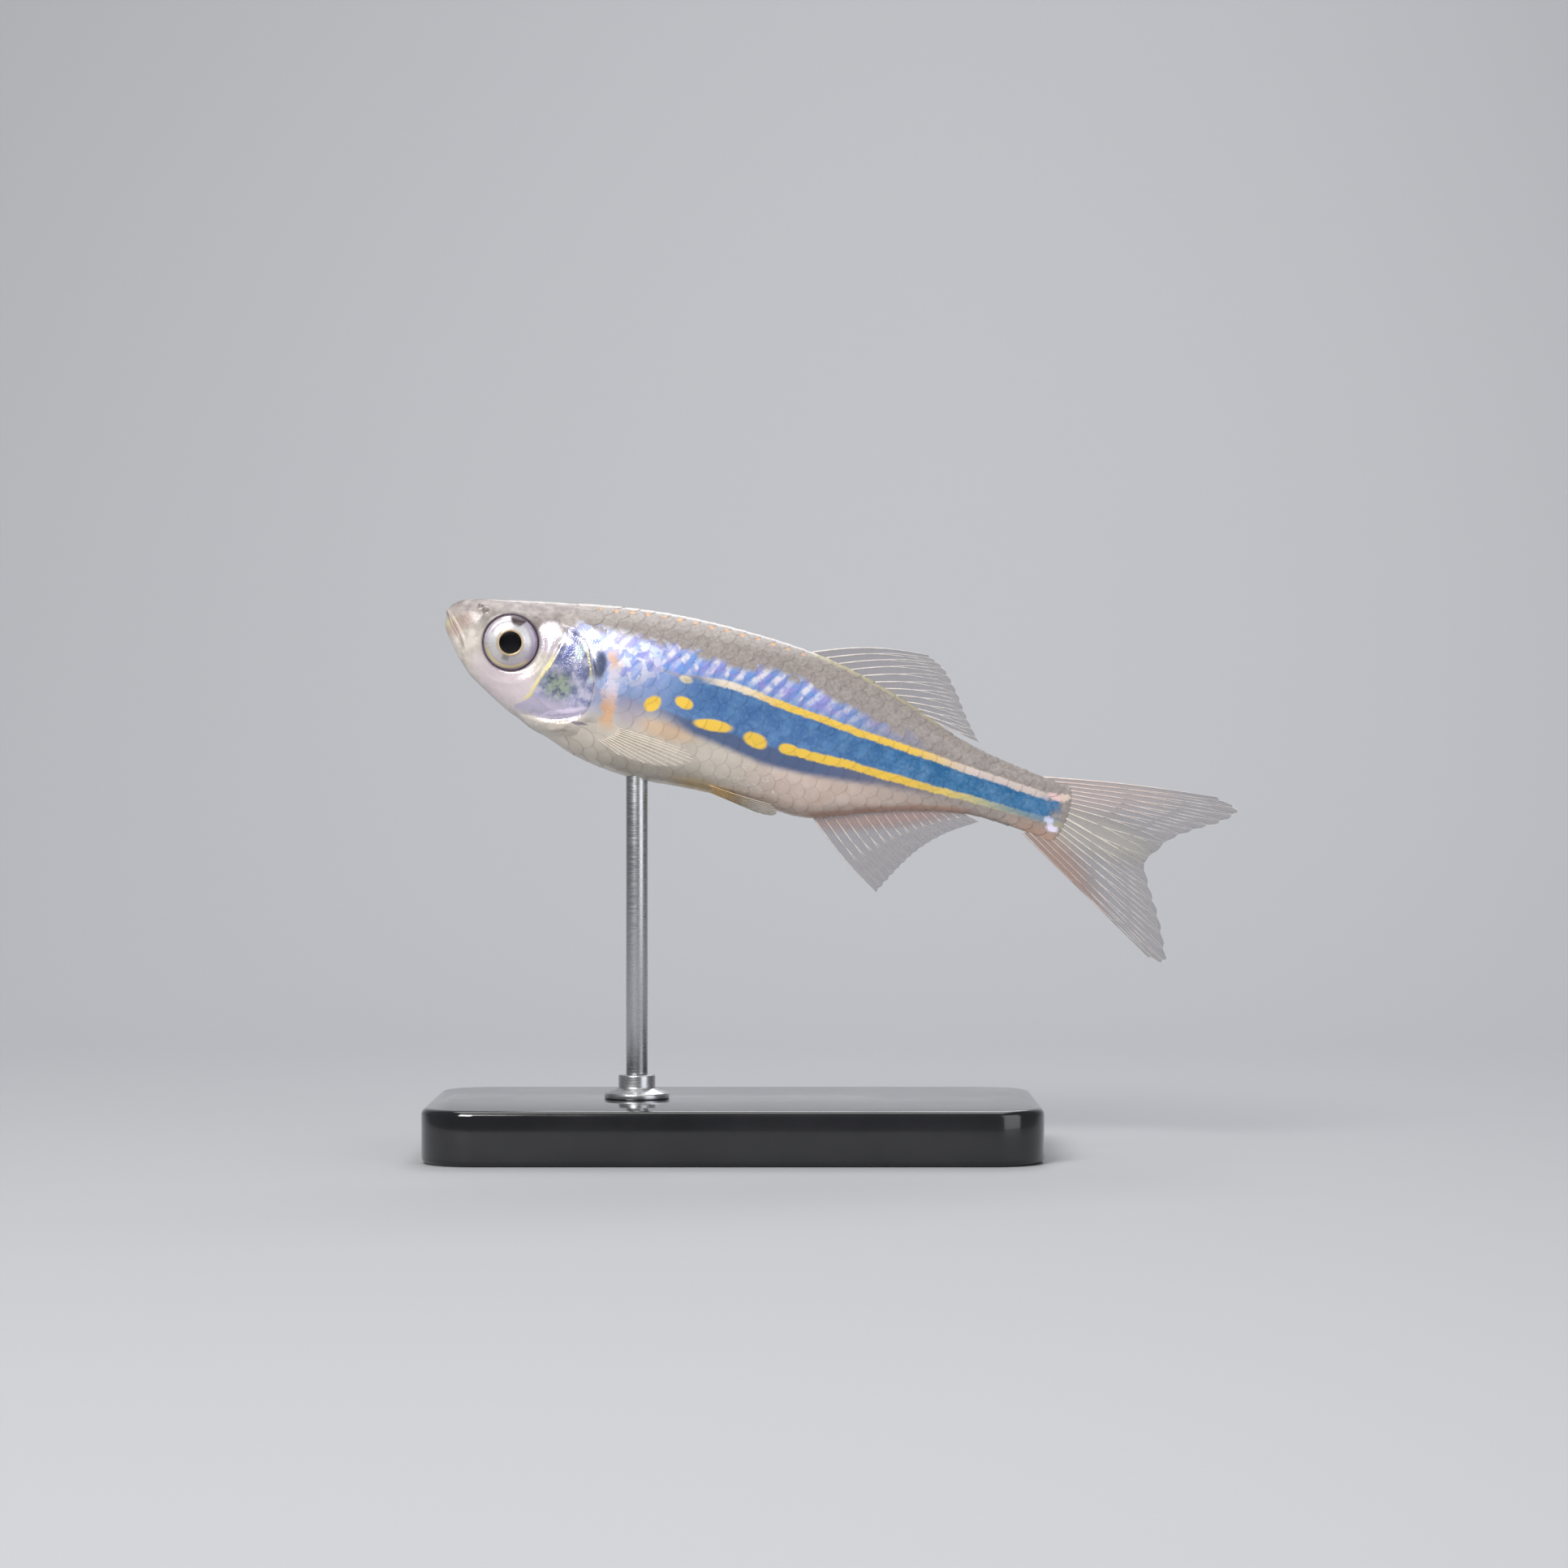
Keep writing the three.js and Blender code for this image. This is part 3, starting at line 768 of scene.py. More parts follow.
class Paint:
    """Short ways to add nodes to one node tree. A plain colour is given as a screen shows it."""

    def __init__(self, tree):
        self.tree = tree

    def add(self, kind, inputs=(), **settings):
        """Adds a node with its settings and its inputs."""
        node = self.tree.nodes.new(kind)
        for name, value in settings.items():
            setattr(node, name, value)
        self.feed(node, inputs)
        return node

    def feed(self, node, inputs):
        """Links or sets a node's inputs, which are given in their order or by number or name."""
        for key, value in inputs.items() if isinstance(inputs, dict) else enumerate(inputs):
            socket = node.inputs[key]
            if isinstance(value, bpy.types.NodeSocket):
                self.tree.links.new(value, socket)
            else:
                socket.default_value = shade(*value) if socket.type == "RGBA" else value

    def math(self, operation, *values):
        return self.add("ShaderNodeMath", values, operation=operation).outputs[0]

    def vector(self, operation, *values, out="Vector"):
        return self.add("ShaderNodeVectorMath", values, operation=operation).outputs[out]

    def both(self, *masks):
        """Where all of several masks are."""
        result = masks[0]
        for mask in masks[1:]:
            result = self.math("MULTIPLY", result, mask)
        return result

    def either(self, first, second):
        return self.math("MAXIMUM", first, second)

    def less(self, first, second):
        return self.math("SUBTRACT", first, second)

    def nudge(self, value, by, size):
        """A value moved to both sides by something that goes from 0 to 1."""
        return self.math("MULTIPLY_ADD", self.less(by, 0.5), size, value)

    def rise(self, value, low, high, start=0.0, end=1.0):
        """Goes softly from start at low to end at high."""
        given = (value, low, high, start, end)
        return self.add("ShaderNodeMapRange", given, interpolation_type="SMOOTHSTEP").outputs[0]

    def fall(self, value, low, high):
        """Goes softly from 1 at low to 0 at high."""
        return self.rise(value, low, high, 1.0, 0.0)

    def within(self, value, start, full, fading, end):
        """Is 1 from full to fading, and goes softly to 0 at start and end."""
        return self.both(self.rise(value, start, full), self.fall(value, fading, end))

    def near(self, value, line, inner, outer):
        """Is 1 up to the inner distance from a line, and goes softly to 0 at the outer one."""
        return self.fall(self.math("ABSOLUTE", self.less(value, line)), inner, outer)

    def mix(self, share, first, second, blend="MIX"):
        given = {0: share, 6: first, 7: second}
        return self.add("ShaderNodeMix", given, data_type="RGBA", blend_type=blend).outputs[2]

    def blend(self, value, low, high, first, second, most=1.0):
        """Goes from one colour to another, or part of the way, as a value goes from low to high."""
        return self.mix(self.rise(value, low, high, 0.0, most), first, second)

    def noise(self, place, scale, detail=2.0, roughness=0.5):
        given = {"Vector": place, "Scale": scale, "Detail": detail, "Roughness": roughness}
        return self.add("ShaderNodeTexNoise", given).outputs["Fac"]

    def graph(self, value, points):
        """A smooth curve through points, as a height over the value."""
        xs, ys = zip(*points)
        low, high = min(ys), max(ys) + 1e-6
        share = self.add("ShaderNodeMapRange", (value, xs[0], xs[-1], 0.0, 1.0)).outputs[0]
        node = self.add("ShaderNodeFloatCurve", {"Value": share})
        curve = node.mapping.curves[0]
        while len(curve.points) < len(points):
            curve.points.new(0.5, 0.5)
        for point, (x, y) in zip(curve.points, points):
            point.location = ((x - xs[0]) / (xs[-1] - xs[0]), (y - low) / (high - low))
        node.mapping.update()
        return self.math("MULTIPLY_ADD", node.outputs[0], high - low, low)

    def mapped(self, place, location, scale, turn=0.0):
        """A place measured from a point in the middle plane, in other units and turned seen from the side."""
        given = {"Vector": place, "Location": location, "Rotation": (0, turn, 0), "Scale": scale}
        return self.add("ShaderNodeMapping", given, vector_type="TEXTURE").outputs[0]

    def oval(self, place, station, height, half_long, half_tall, tilt=0.0, soft=0.3):
        """A soft-edged oval, seen from the side, with its tilt in degrees."""
        scale = (half_long, THROUGH, half_tall)
        own = self.mapped(place, (station, 0, height), scale, -math.radians(tilt))
        return self.fall(self.vector("LENGTH", own, out="Value"), 1 - soft, 1 + soft)

    def split(self, place):
        return self.add("ShaderNodeSeparateXYZ", [place]).outputs

    def scatter(self, place, scale, size):
        """A place moved a little by noise, which roughens the edges of what is drawn on it."""
        moves = self.add("ShaderNodeTexNoise", {"Vector": place, "Scale": scale}).outputs["Color"]
        centred = self.vector("SUBTRACT", moves, (0.5, 0.5, 0.5))
        return self.vector("MULTIPLY_ADD", centred, (size, size, size), place)

    def fish_place(self):
        """Object coordinates turned into the fish's own frame, as shares of its length."""
        where = self.add("ShaderNodeTexCoord").outputs["Object"]
        return self.mapped(where, SNOUT, (LENGTH, LENGTH, LENGTH), HEAD_UP)


THROUGH = 1000  # a mark on the side goes through the whole fish

# Markings of the side: heights over the snout along the body, as shares of the length
UPPER_STRIPE = [(0.38, 0.02), (0.4255, 0.0305), (0.476, 0.0345), (0.53, 0.0315), (0.98, 0.0312)]
LOWER_STRIPE = [
    (0.55, -0.0305), (0.615, -0.0275), (0.66, -0.0225), (0.74, -0.0185), (0.81, -0.0143), (0.856, -0.011),
    (0.956, -0.0056), (1.0, -0.004),
]
SHEEN_TOP = [
    (0.18, 0.052), (0.27, 0.057), (0.31, 0.063), (0.43, 0.0635), (0.5, 0.072), (0.56, 0.076),
    (0.62, 0.063), (0.7, 0.056), (0.8, 0.044),
]
BLUE_BOTTOM = [
    (0.25, -0.08), (0.3, -0.058), (0.345, -0.045), (0.38, -0.046), (0.42, -0.055), (0.49, -0.059),
    (0.54, -0.063), (0.59, -0.059), (0.656, -0.049), (0.74, -0.033), (0.81, -0.025), (0.9, -0.017),
    (1.0, -0.016),
]
SPOTS = [  # station, height, half length, half height, tilt in degrees
    (0.352, -0.031, 0.0108, 0.0138, -30),
    (0.397, -0.014, 0.0145, 0.009, -8),
    (0.45, -0.0325, 0.0295, 0.0092, 10),
    (0.518, -0.033, 0.019, 0.0112, -4),
    (0.57, -0.0297, 0.0145, 0.0088, 3),
]
DOT_PITCH = 0.0245
# Flecks at the tail's root: the first two, pale violet-white, are painted highlights, the two pinkish ones
# its colour
TAIL_FLECKS_AND_HIGHLIGHTS = [  # station, height, half length, half height, colour
    (0.987, -0.003, 0.009, 0.005, (226, 230, 255)),
    (0.995, -0.013, 0.009, 0.006, (240, 232, 255)),
    (0.983, 0.034, 0.012, 0.006, (240, 206, 204)),
    (0.999, 0.039, 0.008, 0.005, (228, 206, 190)),
]
# The rear edges of the gill cover and the cheek, and the bar behind them: stations up the side
COVER_REAR = [
    (-0.11, 0.2), (-0.1035, 0.215), (-0.0905, 0.245), (-0.072, 0.2605), (-0.048, 0.2625), (-0.018, 0.252),
    (0.01, 0.237), (0.027, 0.222), (0.04, 0.205),
]
CHEEK_REAR = [(-0.1, 0.15), (-0.082, 0.167), (-0.05, 0.1755), (-0.0155, 0.186), (0.02, 0.19), (0.05, 0.192)]
BAR_LINE = [(-0.095, 0.297), (-0.06, 0.29), (-0.02, 0.283), (0.03, 0.268)]
# Pale patches behind the eye and on the gill cover, its silvery colour with painted highlights, and last a
# painted shadow at the side fin's root
COVER_HIGHLIGHTS_AND_SHADE = [  # station, height, half length, half height, tilt in degrees, colour
    (0.168, 0.0124, 0.0165, 0.0235, 0, (255, 244, 255)),
    (0.236, -0.082, 0.024, 0.004, 28, (244, 232, 255)),
    (0.215, -0.092, 0.02, 0.003, 22, (236, 224, 250)),
    (0.222, 0.008, 0.007, 0.013, 10, (226, 244, 250)),
    (0.196, 0.02, 0.01, 0.008, 0, (236, 232, 250)),
    (0.25, -0.028, 0.006, 0.006, 0, (226, 238, 255)),
    # A painted shadow along the side fin's root
    (0.25, -0.0965, 0.018, 0.0026, 8, (164, 148, 164)),
]
# The line of the painted shade in the mouth's cleft
MOUTH_LINE = [(0.0, 0.003), (0.011, -0.004), (0.022, -0.014), (0.04, -0.031), (0.052, -0.046)]
# Places of the painted shade in the nostrils
NOSTRILS = [(0.0525, 0.0265, 0.0045), (0.0625, 0.0225, 0.0055)]  # station, height, half length
EYE_RING = 1.07 * EYE_RADIUS / LENGTH
YELLOW = (248, 205, 78)
ORANGE = (228, 180, 136)


class Markings(Paint):
    """The fish's colours, laid one over another, and how silvery they are."""

    def __init__(self, tree, place):
        super().__init__(tree)
        self.place = self.scatter(place, 48, 0.0045)
        self.s, _, self.v = self.split(self.place)
        self.mottle = self.noise(self.place, 42, 3, 0.6)
        self.fine = self.noise(self.place, 170, 2, 0.6)
        self.upper = self.graph(self.s, UPPER_STRIPE)
        self.lower = self.graph(self.s, LOWER_STRIPE)
        self.colour = None
        self.silver = 0.0

    def lay(self, mask, colour, strength=1.0):
        """Lays a colour over what is there, where a mask is."""
        self.colour = self.mix(self.both(mask, strength), self.colour, colour)

    def shine(self, mask, strength):
        self.silver = self.either(self.silver, self.both(mask, strength))

    def spot(self, *sizes):
        return self.oval(self.place, *sizes)

    def along(self, edge, inset, stations, inner, outer):
        """A line that follows the back's or belly's edge."""
        line = self.graph(self.s, [(station, edge(station) + inset) for station in stations])
        return self.near(self.v, line, inner, outer)


def paint_back_and_belly(p):
    back_colour = p.blend(p.fine, 0.25, 0.75, (140, 132, 128), (163, 154, 149))
    belly_colour = p.blend(p.s, 0.46, 0.62, (212, 204, 190), (218, 194, 180))
    belly_colour = p.blend(p.mottle, 0.35, 0.7, belly_colour, (232, 218, 208), 0.5)
    p.colour = p.blend(p.v, -0.075, 0.0, belly_colour, back_colour)
    p.silver = p.rise(p.v, -0.02, -0.1, 0.0, 0.3)
    glints = p.rise(p.noise(p.place, 210, 1, 0.5), 0.62, 0.68)
    p.lay(p.both(glints, p.spot(0.545, -0.094, 0.055, 0.02, 0, 0.5)), (246, 240, 240), 0.7)
    warm_blotch = p.spot(0.385, -0.062, 0.045, 0.014, 4, 0.5)
    p.lay(warm_blotch, (224, 184, 140), 0.6)


def paint_blue_band(p):
    """The blue band, in two parts either side of the lower yellow stripe."""
    s, v = p.s, p.v
    soft = p.rise(s, 0.34, 0.44, 0.02, 0.007)
    over_bottom = p.rise(p.less(v, p.graph(s, BLUE_BOTTOM)), p.less(0.0, soft), soft)
    under_upper = p.fall(p.less(v, p.upper), -0.004, 0.004)
    under_lower = p.fall(p.less(v, p.lower), -0.008, 0.0)
    ragged_end = p.fall(p.math("MULTIPLY_ADD", p.mottle, 0.07, s), 1.01, 1.04)
    stretch = p.both(p.rise(s, 0.246, 0.27), ragged_end)
    kept = p.less(1.0, p.both(under_lower, p.rise(s, 0.75, 0.88)))
    band = p.both(over_bottom, under_upper, stretch, kept)
    deep = p.blend(s, 0.3, 0.43, (170, 186, 228), (82, 126, 184))
    deep = p.blend(s, 0.55, 0.85, deep, (44, 116, 168))
    deep = p.blend(p.mottle, 0.4, 0.72, deep, (112, 160, 208), 0.6)
    deep = p.blend(p.fine, 0.45, 0.7, deep, (132, 176, 216), 0.3)
    dull = p.blend(s, 0.6, 0.85, (90, 108, 146), (150, 140, 146))
    dull = p.blend(s, 0.3, 0.43, (160, 168, 202), dull)
    p.lay(band, p.mix(under_lower, deep, dull))
    p.shine(band, 0.35)


def paint_sheen(p, dash, tone):
    """Violet and white over the blue band. The white is painted highlights: a slanted dash on each scale and
    blotches near the head.
    """
    s, v = p.s, p.v
    top = p.nudge(p.graph(s, SHEEN_TOP), tone, 0.014)
    near_head = p.fall(s, 0.3, 0.4)
    over_stripe = p.rise(p.less(v, p.upper), 0.0, 0.007)
    over_bottom = p.either(over_stripe, p.both(near_head, p.rise(v, -0.035, 0.02)))
    sheen = p.both(p.fall(p.less(v, top), -0.008, 0.006), over_bottom, p.within(s, 0.17, 0.2, 0.62, 0.8))
    low = p.fall(p.less(v, p.upper), 0.006, 0.018)
    hue = p.blend(p.mottle, 0.4, 0.62, (124, 166, 238), (164, 162, 236))
    hue = p.mix(p.both(low, p.rise(s, 0.36, 0.46, 0.0, 0.75)), hue, (126, 172, 230))
    hue = p.mix(p.rise(s, 0.26, 0.34, 0.4, 0.0), hue, (216, 212, 252))
    # White of the painted highlights
    highlight_white = p.mix(tone, (228, 238, 255), (255, 248, 255))
    # Painted highlights in blotches near the head
    blotches = p.both(p.rise(p.noise(p.place, 60, 2, 0.55), 0.45, 0.58), near_head)
    broken = p.rise(p.noise(p.place, 80, 2, 0.5), 0.36, 0.6, 0.25, 1.0)
    fading = p.both(p.rise(s, 0.56, 0.76, 1.0, 0.1), p.rise(low, 0.0, 1.0, 1.0, 0.45))
    # Painted highlights: a slanted dash on each scale
    glint_dashes = p.both(dash, broken, fading, p.rise(tone, 0.0, 0.5, 0.45, 1.0))
    hue = p.mix(p.either(blotches, glint_dashes), hue, highlight_white)
    p.lay(sheen, hue, p.rise(s, 0.55, 0.7, 0.95, 0.7))
    p.shine(sheen, 0.35)
    shadow = p.spot(0.322, -0.055, 0.022, 0.022, 20, 0.7)
    p.lay(shadow, (160, 152, 176), 0.55)


def paint_yellow(p):
    """Two yellow stripes. The lower one breaks up into spots towards the gill cover."""
    s = p.s

    def stripe(line, half, stretch):
        off = p.math("ABSOLUTE", p.less(p.v, line))
        return p.both(p.fall(p.nudge(p.less(off, half), p.fine, 0.006), -0.0018, 0.0018), stretch)

    first = stripe(p.upper, 0.0054, p.within(s, 0.4, 0.45, 0.955, 0.99))
    first_colour = p.blend(s, 0.46, 0.55, (240, 226, 204), YELLOW)
    first_colour = p.blend(s, 0.74, 0.86, first_colour, (218, 202, 194))
    fading = p.both(p.rise(s, 0.564, 0.574), p.rise(s, 0.82, 0.98, 1.0, 0.25))
    second = stripe(p.lower, p.rise(s, 0.6, 0.95, 0.0068, 0.0048), fading)
    p.lay(first, first_colour, 0.95)
    p.lay(second, p.blend(s, 0.74, 0.94, YELLOW, (206, 208, 160)))
    marks = p.either(first, second)
    for sizes in SPOTS:
        spot = p.spot(*sizes, 0.2)
        marks = p.either(marks, spot)
        p.lay(spot, YELLOW)
    p.lay(p.spot(0.388, 0.0204, 0.01, 0.0055), (240, 224, 180), 0.8)
    p.silver = p.both(p.silver, p.rise(marks, 0.0, 1.0, 1.0, 0.35))


def paint_bar(p):
    """The bar behind the gill cover, orange with a pale middle, and the dark spot before it."""
    ragged = p.nudge(p.less(p.s, p.graph(p.v, BAR_LINE)), p.noise(p.place, 80, 3, 0.65), 0.036)
    bar = p.both(p.near(ragged, 0.0, 0.004, 0.0155), p.within(p.v, -0.102, -0.07, 0.01, 0.036))
    middle = p.within(p.v, -0.062, -0.02, -0.01, 0.018)
    p.lay(bar, p.mix(middle, ORANGE, (242, 234, 252)), 0.9)
    dark = p.spot(0.2565, -0.001, 0.0105, 0.0205, 12, 0.35)
    p.lay(dark, (44, 56, 86), 0.85)


def paint_edges(p):
    """Orange dots along the back, lines at the roots of the dorsal and anal fins, and the tail's root."""
    s = p.s
    beads = p.rise(p.math("SINE", p.math("MULTIPLY", s, 2 * math.pi / DOT_PITCH)), 0.5, 0.95)
    dots = p.along(back, -0.0105, (0.19, 0.25, 0.31, 0.37, 0.43, 0.49, 0.56), 0.001, 0.0034)
    faint = p.rise(p.mottle, 0.3, 0.55, 0.3, 1.0)
    p.lay(p.both(dots, beads, p.within(s, 0.18, 0.22, 0.52, 0.57), faint), (234, 168, 98), 0.9)
    dorsal_line = p.along(back, -0.004, (0.55, 0.61, 0.67, 0.73, 0.79), 0.001, 0.005)
    p.lay(p.both(dorsal_line, p.within(s, 0.55, 0.57, 0.76, 0.8)), (200, 194, 146), 0.5)
    anal_line = p.along(belly, 0.006, (0.62, 0.68, 0.74, 0.8, 0.86), 0.002, 0.008)
    p.lay(p.both(anal_line, p.within(s, 0.62, 0.64, 0.84, 0.88)), (196, 148, 126), 0.55)
    tail_root = p.spot(0.99, -0.032, 0.05, 0.016, -10, 0.7)
    p.lay(tail_root, (180, 134, 106), 0.55)
    rough = p.scatter(p.place, 110, 0.014)
    # Pinkish flecks and pale violet-white painted highlights at the tail's root
    for *sizes, colour in TAIL_FLECKS_AND_HIGHLIGHTS:
        p.lay(p.oval(rough, *sizes, 0, 0.4), colour, 0.9)
    pelvic_root = p.spot(0.47, -0.13, 0.05, 0.014, 0, 0.5)
    p.lay(pelvic_root, (212, 176, 104), 0.6)


def paint_head(p):
    """The head's own colours, with its pinkish cheek and its silvery blue-violet gill cover."""
    s, v = p.s, p.v
    mottle = p.noise(p.place, 60, 3, 0.6)
    cheek_rear = p.graph(v, CHEEK_REAR)
    cover_rear = p.graph(v, COVER_REAR)
    in_cover = p.both(p.fall(p.less(s, cover_rear), -0.002, 0.003), p.fall(v, 0.03, 0.045))
    crown = p.blend(mottle, 0.35, 0.65, (130, 121, 119), (164, 154, 150))
    jaw = p.blend(mottle, 0.35, 0.65, (196, 188, 176), (222, 214, 206))
    on_head = p.either(in_cover, p.fall(s, 0.196, 0.21))
    p.lay(on_head, p.blend(v, -0.03, 0.02, jaw, crown))
    p.silver = p.both(p.silver, p.fall(on_head, 0.0, 1.0))

    cheek = p.spot(0.125, -0.066, 0.052, 0.036, -18, 0.5)
    p.lay(cheek, (236, 220, 226), 0.85)
    p.shine(cheek, 0.35)
    cover = p.both(in_cover, p.rise(p.less(s, cheek_rear), -0.002, 0.004), p.rise(v, -0.112, -0.1))
    silvery = p.blend(p.noise(p.place, 52, 4, 0.65), 0.38, 0.62, (122, 132, 184), (222, 220, 246))
    p.lay(cover, p.blend(v, -0.06, -0.085, silvery, (206, 198, 222)), 0.9)
    p.shine(cover, 0.6)
    green = p.blend(p.noise(p.place, 110, 3, 0.6), 0.42, 0.58, (78, 92, 100), (158, 178, 138))
    p.lay(p.oval(p.scatter(p.place, 60, 0.014), 0.206, -0.05, 0.022, 0.02, 20, 0.6), green, 0.75)
    rough = p.scatter(p.place, 70, 0.012)
    # Painted highlights on pale patches, and a painted shadow at the side fin's root
    for *sizes, colour in COVER_HIGHLIGHTS_AND_SHADE:
        light_and_shade_patch = p.oval(rough, *sizes, 0.35)
        p.lay(light_and_shade_patch, colour, 0.92)
        p.shine(light_and_shade_patch, 0.6)

    # Yellow lines on the edges of the cheek and of the gill cover
    broken = p.rise(p.noise(p.place, 130, 2, 0.5), 0.35, 0.6, 0.35, 0.85)
    cheek_line = p.both(p.near(s, cheek_rear, 0.002, 0.005), p.within(v, -0.096, -0.08, -0.016, -0.004))
    p.lay(p.both(cheek_line, broken), (244, 230, 150))
    rear_line = p.near(s, p.less(cover_rear, 0.004), 0.001, 0.0035)
    p.lay(p.both(rear_line, p.within(v, -0.03, -0.02, 0.02, 0.028)), (232, 226, 176), 0.75)


def paint_mouth_and_nose(p):
    """The yellow-green chin, brown painted shade along the mouth's cleft and in the nostrils, and the dark
    ring round the eye.
    """
    chin = p.spot(0.012, -0.02, 0.007, 0.02, -35, 0.5)
    p.lay(chin, (208, 204, 150), 0.4)
    # Painted shade where the mouth's gape runs back
    mouth_corner_shade = p.spot(0.03, -0.012, 0.012, 0.03, -38, 0.5)
    p.lay(mouth_corner_shade, (158, 128, 116), 0.5)
    # Painted shade in the mouth's cleft
    mouth = p.near(p.v, p.graph(p.s, MOUTH_LINE), 0.0008, 0.0034)
    p.lay(p.both(mouth, p.fall(p.s, 0.044, 0.052)), (126, 98, 90), 0.6)
    # Painted shade in the nostrils
    for station, height, size in NOSTRILS:
        p.lay(p.spot(station, height, size, size * 0.8, 20, 0.5), (96, 82, 76), 0.6)
    ring = p.spot(*EYE, EYE_RING, EYE_RING, 0, 0.065)
    p.lay(ring, (96, 84, 92), 0.6)


def make_markings():
    """The group of the fish's colours, shared by its skin and its scales, from a place in its own frame."""
    tree = bpy.data.node_groups.new("danio markings", "ShaderNodeTree")
    # Dash says where the painted highlight on each scale lies
    for name, kind, way in (
        ("Place", "Vector", "INPUT"), ("Dash", "Float", "INPUT"), ("Tone", "Float", "INPUT"),
        ("Colour", "Color", "OUTPUT"), ("Silver", "Float", "OUTPUT"), ("Roughness", "Float", "OUTPUT"),
    ):
        tree.interface.new_socket(name, in_out=way, socket_type="NodeSocket" + kind)
    given = tree.nodes.new("NodeGroupInput").outputs
    p = Markings(tree, given["Place"])
    paint_back_and_belly(p)
    paint_blue_band(p)
    paint_sheen(p, given["Dash"], given["Tone"])
    paint_yellow(p)
    paint_bar(p)
    paint_edges(p)
    paint_head(p)
    paint_mouth_and_nose(p)
    specks = p.rise(p.noise(given["Place"], 420, 1, 0.5), 0.6, 0.72)
    p.lay(p.both(specks, p.rise(p.v, -0.02, 0.06, 0.06, 0.24)), (92, 78, 70))
    roughness = p.rise(p.silver, 0.0, 0.6, 0.36, 0.24)
    p.add("NodeGroupOutput", {"Colour": p.colour, "Silver": p.silver, "Roughness": roughness})


def new_material(name):
    material = bpy.data.materials.new(name)
    material.use_nodes = True
    return Paint(material.node_tree), material.node_tree.nodes["Principled BSDF"]


def add_markings(p, shader, place, dash, tone):
    """Gives a shader the markings' shine, and returns their colour."""
    given = {"Place": place, "Dash": dash, "Tone": tone}
    group = p.add("ShaderNodeGroup", given, node_tree=bpy.data.node_groups["danio markings"])
    p.feed(shader, {"Metallic": group.outputs["Silver"], "Roughness": group.outputs["Roughness"]})
    p.feed(shader, {"Coat Weight": 0.35, "Coat Roughness": 0.12})
    return group.outputs["Colour"]


def add_bump(p, shader, height, distance, strength):
    given = {"Distance": distance, "Strength": strength, "Height": height}
    p.feed(shader, {"Normal": p.add("ShaderNodeBump", given).outputs[0]})


def make_skin_material():
    p, shader = new_material("fish skin")
    place = p.fish_place()
    # The skin takes a fixed 0.4 of the painted highlight that each scale gets
    p.feed(shader, {"Base Color": add_markings(p, shader, place, 0.4, 0.5)})
    grain = p.math("ADD", p.noise(place, 120, 3, 0.6), p.noise(place, 420, 1, 0.5))
    add_bump(p, shader, grain, 0.05 * MM, 0.5)


def make_scale_material():
    p, shader = new_material("fish scales")
    place = p.fish_place()
    own = p.add("ShaderNodeUVMap", uv_map="scale_place").outputs[0]
    x, y, _ = p.split(own)
    tone = p.add("ShaderNodeAttribute", attribute_name="scale_tone").outputs["Fac"]
    # A slanted painted highlight on each scale, given to the markings as their Dash
    slant = p.math("MULTIPLY_ADD", y, 0.42, x)
    dash = p.near(slant, p.math("MULTIPLY_ADD", tone, 0.16, 0.78), 0.06, 0.2)
    colour = add_markings(p, shader, place, dash, tone)
    out = p.vector("DISTANCE", own, (0.5, 0.5, 0), out="Value")
    darker = p.math("MULTIPLY_ADD", p.rise(out, 0.42, 0.5), 0.16, p.both(tone, 0.12))
    p.feed(shader, {"Base Color": p.mix(darker, colour, (150, 145, 150), "MULTIPLY")})
    rings = p.math("SINE", p.math("MULTIPLY", out, 90.0))
    add_bump(p, shader, p.math("ADD", rings, p.noise(place, 260, 2, 0.5)), 0.004 * MM, 0.16)


FIN_MATERIALS = [  # name, colour, how opaque, how flecked
    ("fin membrane", (118, 110, 116), 0.3, 0.12),
    ("fin rays", (226, 218, 212), 1.0, 0.2),
]
FIN_TINTS = {  # station, height, half length, half height, tilt in degrees, softness, colour, strength
    "low tail root": (1.02, -0.056, 0.1, 0.026, -38, 0.8, (174, 130, 104), 0.6),
    "high tail root": (1.03, 0.06, 0.12, 0.03, 16, 0.6, (206, 172, 160), 0.45),
    "tail middle": (1.06, 0.0, 0.1, 0.03, 0, 0.6, (228, 224, 204), 0.35),
    "pelvic tip": (0.57, -0.128, 0.05, 0.02, 0, 0.5, (226, 216, 200), 0.7),
    "pelvic root": (0.475, -0.128, 0.05, 0.02, 0, 0.6, (226, 186, 110), 0.75),
    "side fin": (0.34, -0.1, 0.12, 0.03, 0, 0.3, (232, 222, 204), 0.85),
    "anal root": (0.74, -0.076, 0.12, 0.02, 24, 0.5, (186, 138, 120), 0.5),
}
FILLED_ROOTS = ("tail middle", "pelvic root", "anal root")


def make_fin_materials():
    for name, colour, opaque, flecks in FIN_MATERIALS:
        p, shader = new_material(name)
        place = p.fish_place()
        colour = p.blend(p.noise(place, 90, 3, 0.6), 0.35, 0.65, colour, (96, 84, 84), flecks)
        masks = {}
        for part, (*sizes, tint, strength) in FIN_TINTS.items():
            masks[part] = p.oval(place, *sizes)
            colour = p.mix(p.both(masks[part], strength), colour, tint)
        p.feed(shader, {"Base Color": colour, "Roughness": 0.3})
        if opaque < 1:
            filled = masks["low tail root"]
            for part in FILLED_ROOTS:
                filled = p.either(filled, masks[part])
            filled = p.less(filled, p.both(masks["side fin"], 0.8))
            p.feed(shader, {"Alpha": p.rise(filled, -1.0, 1.0, opaque - 0.2, opaque + 0.2)})
        add_bump(p, shader, p.noise(place, 300, 2, 0.5), 0.006 * MM, 0.4)


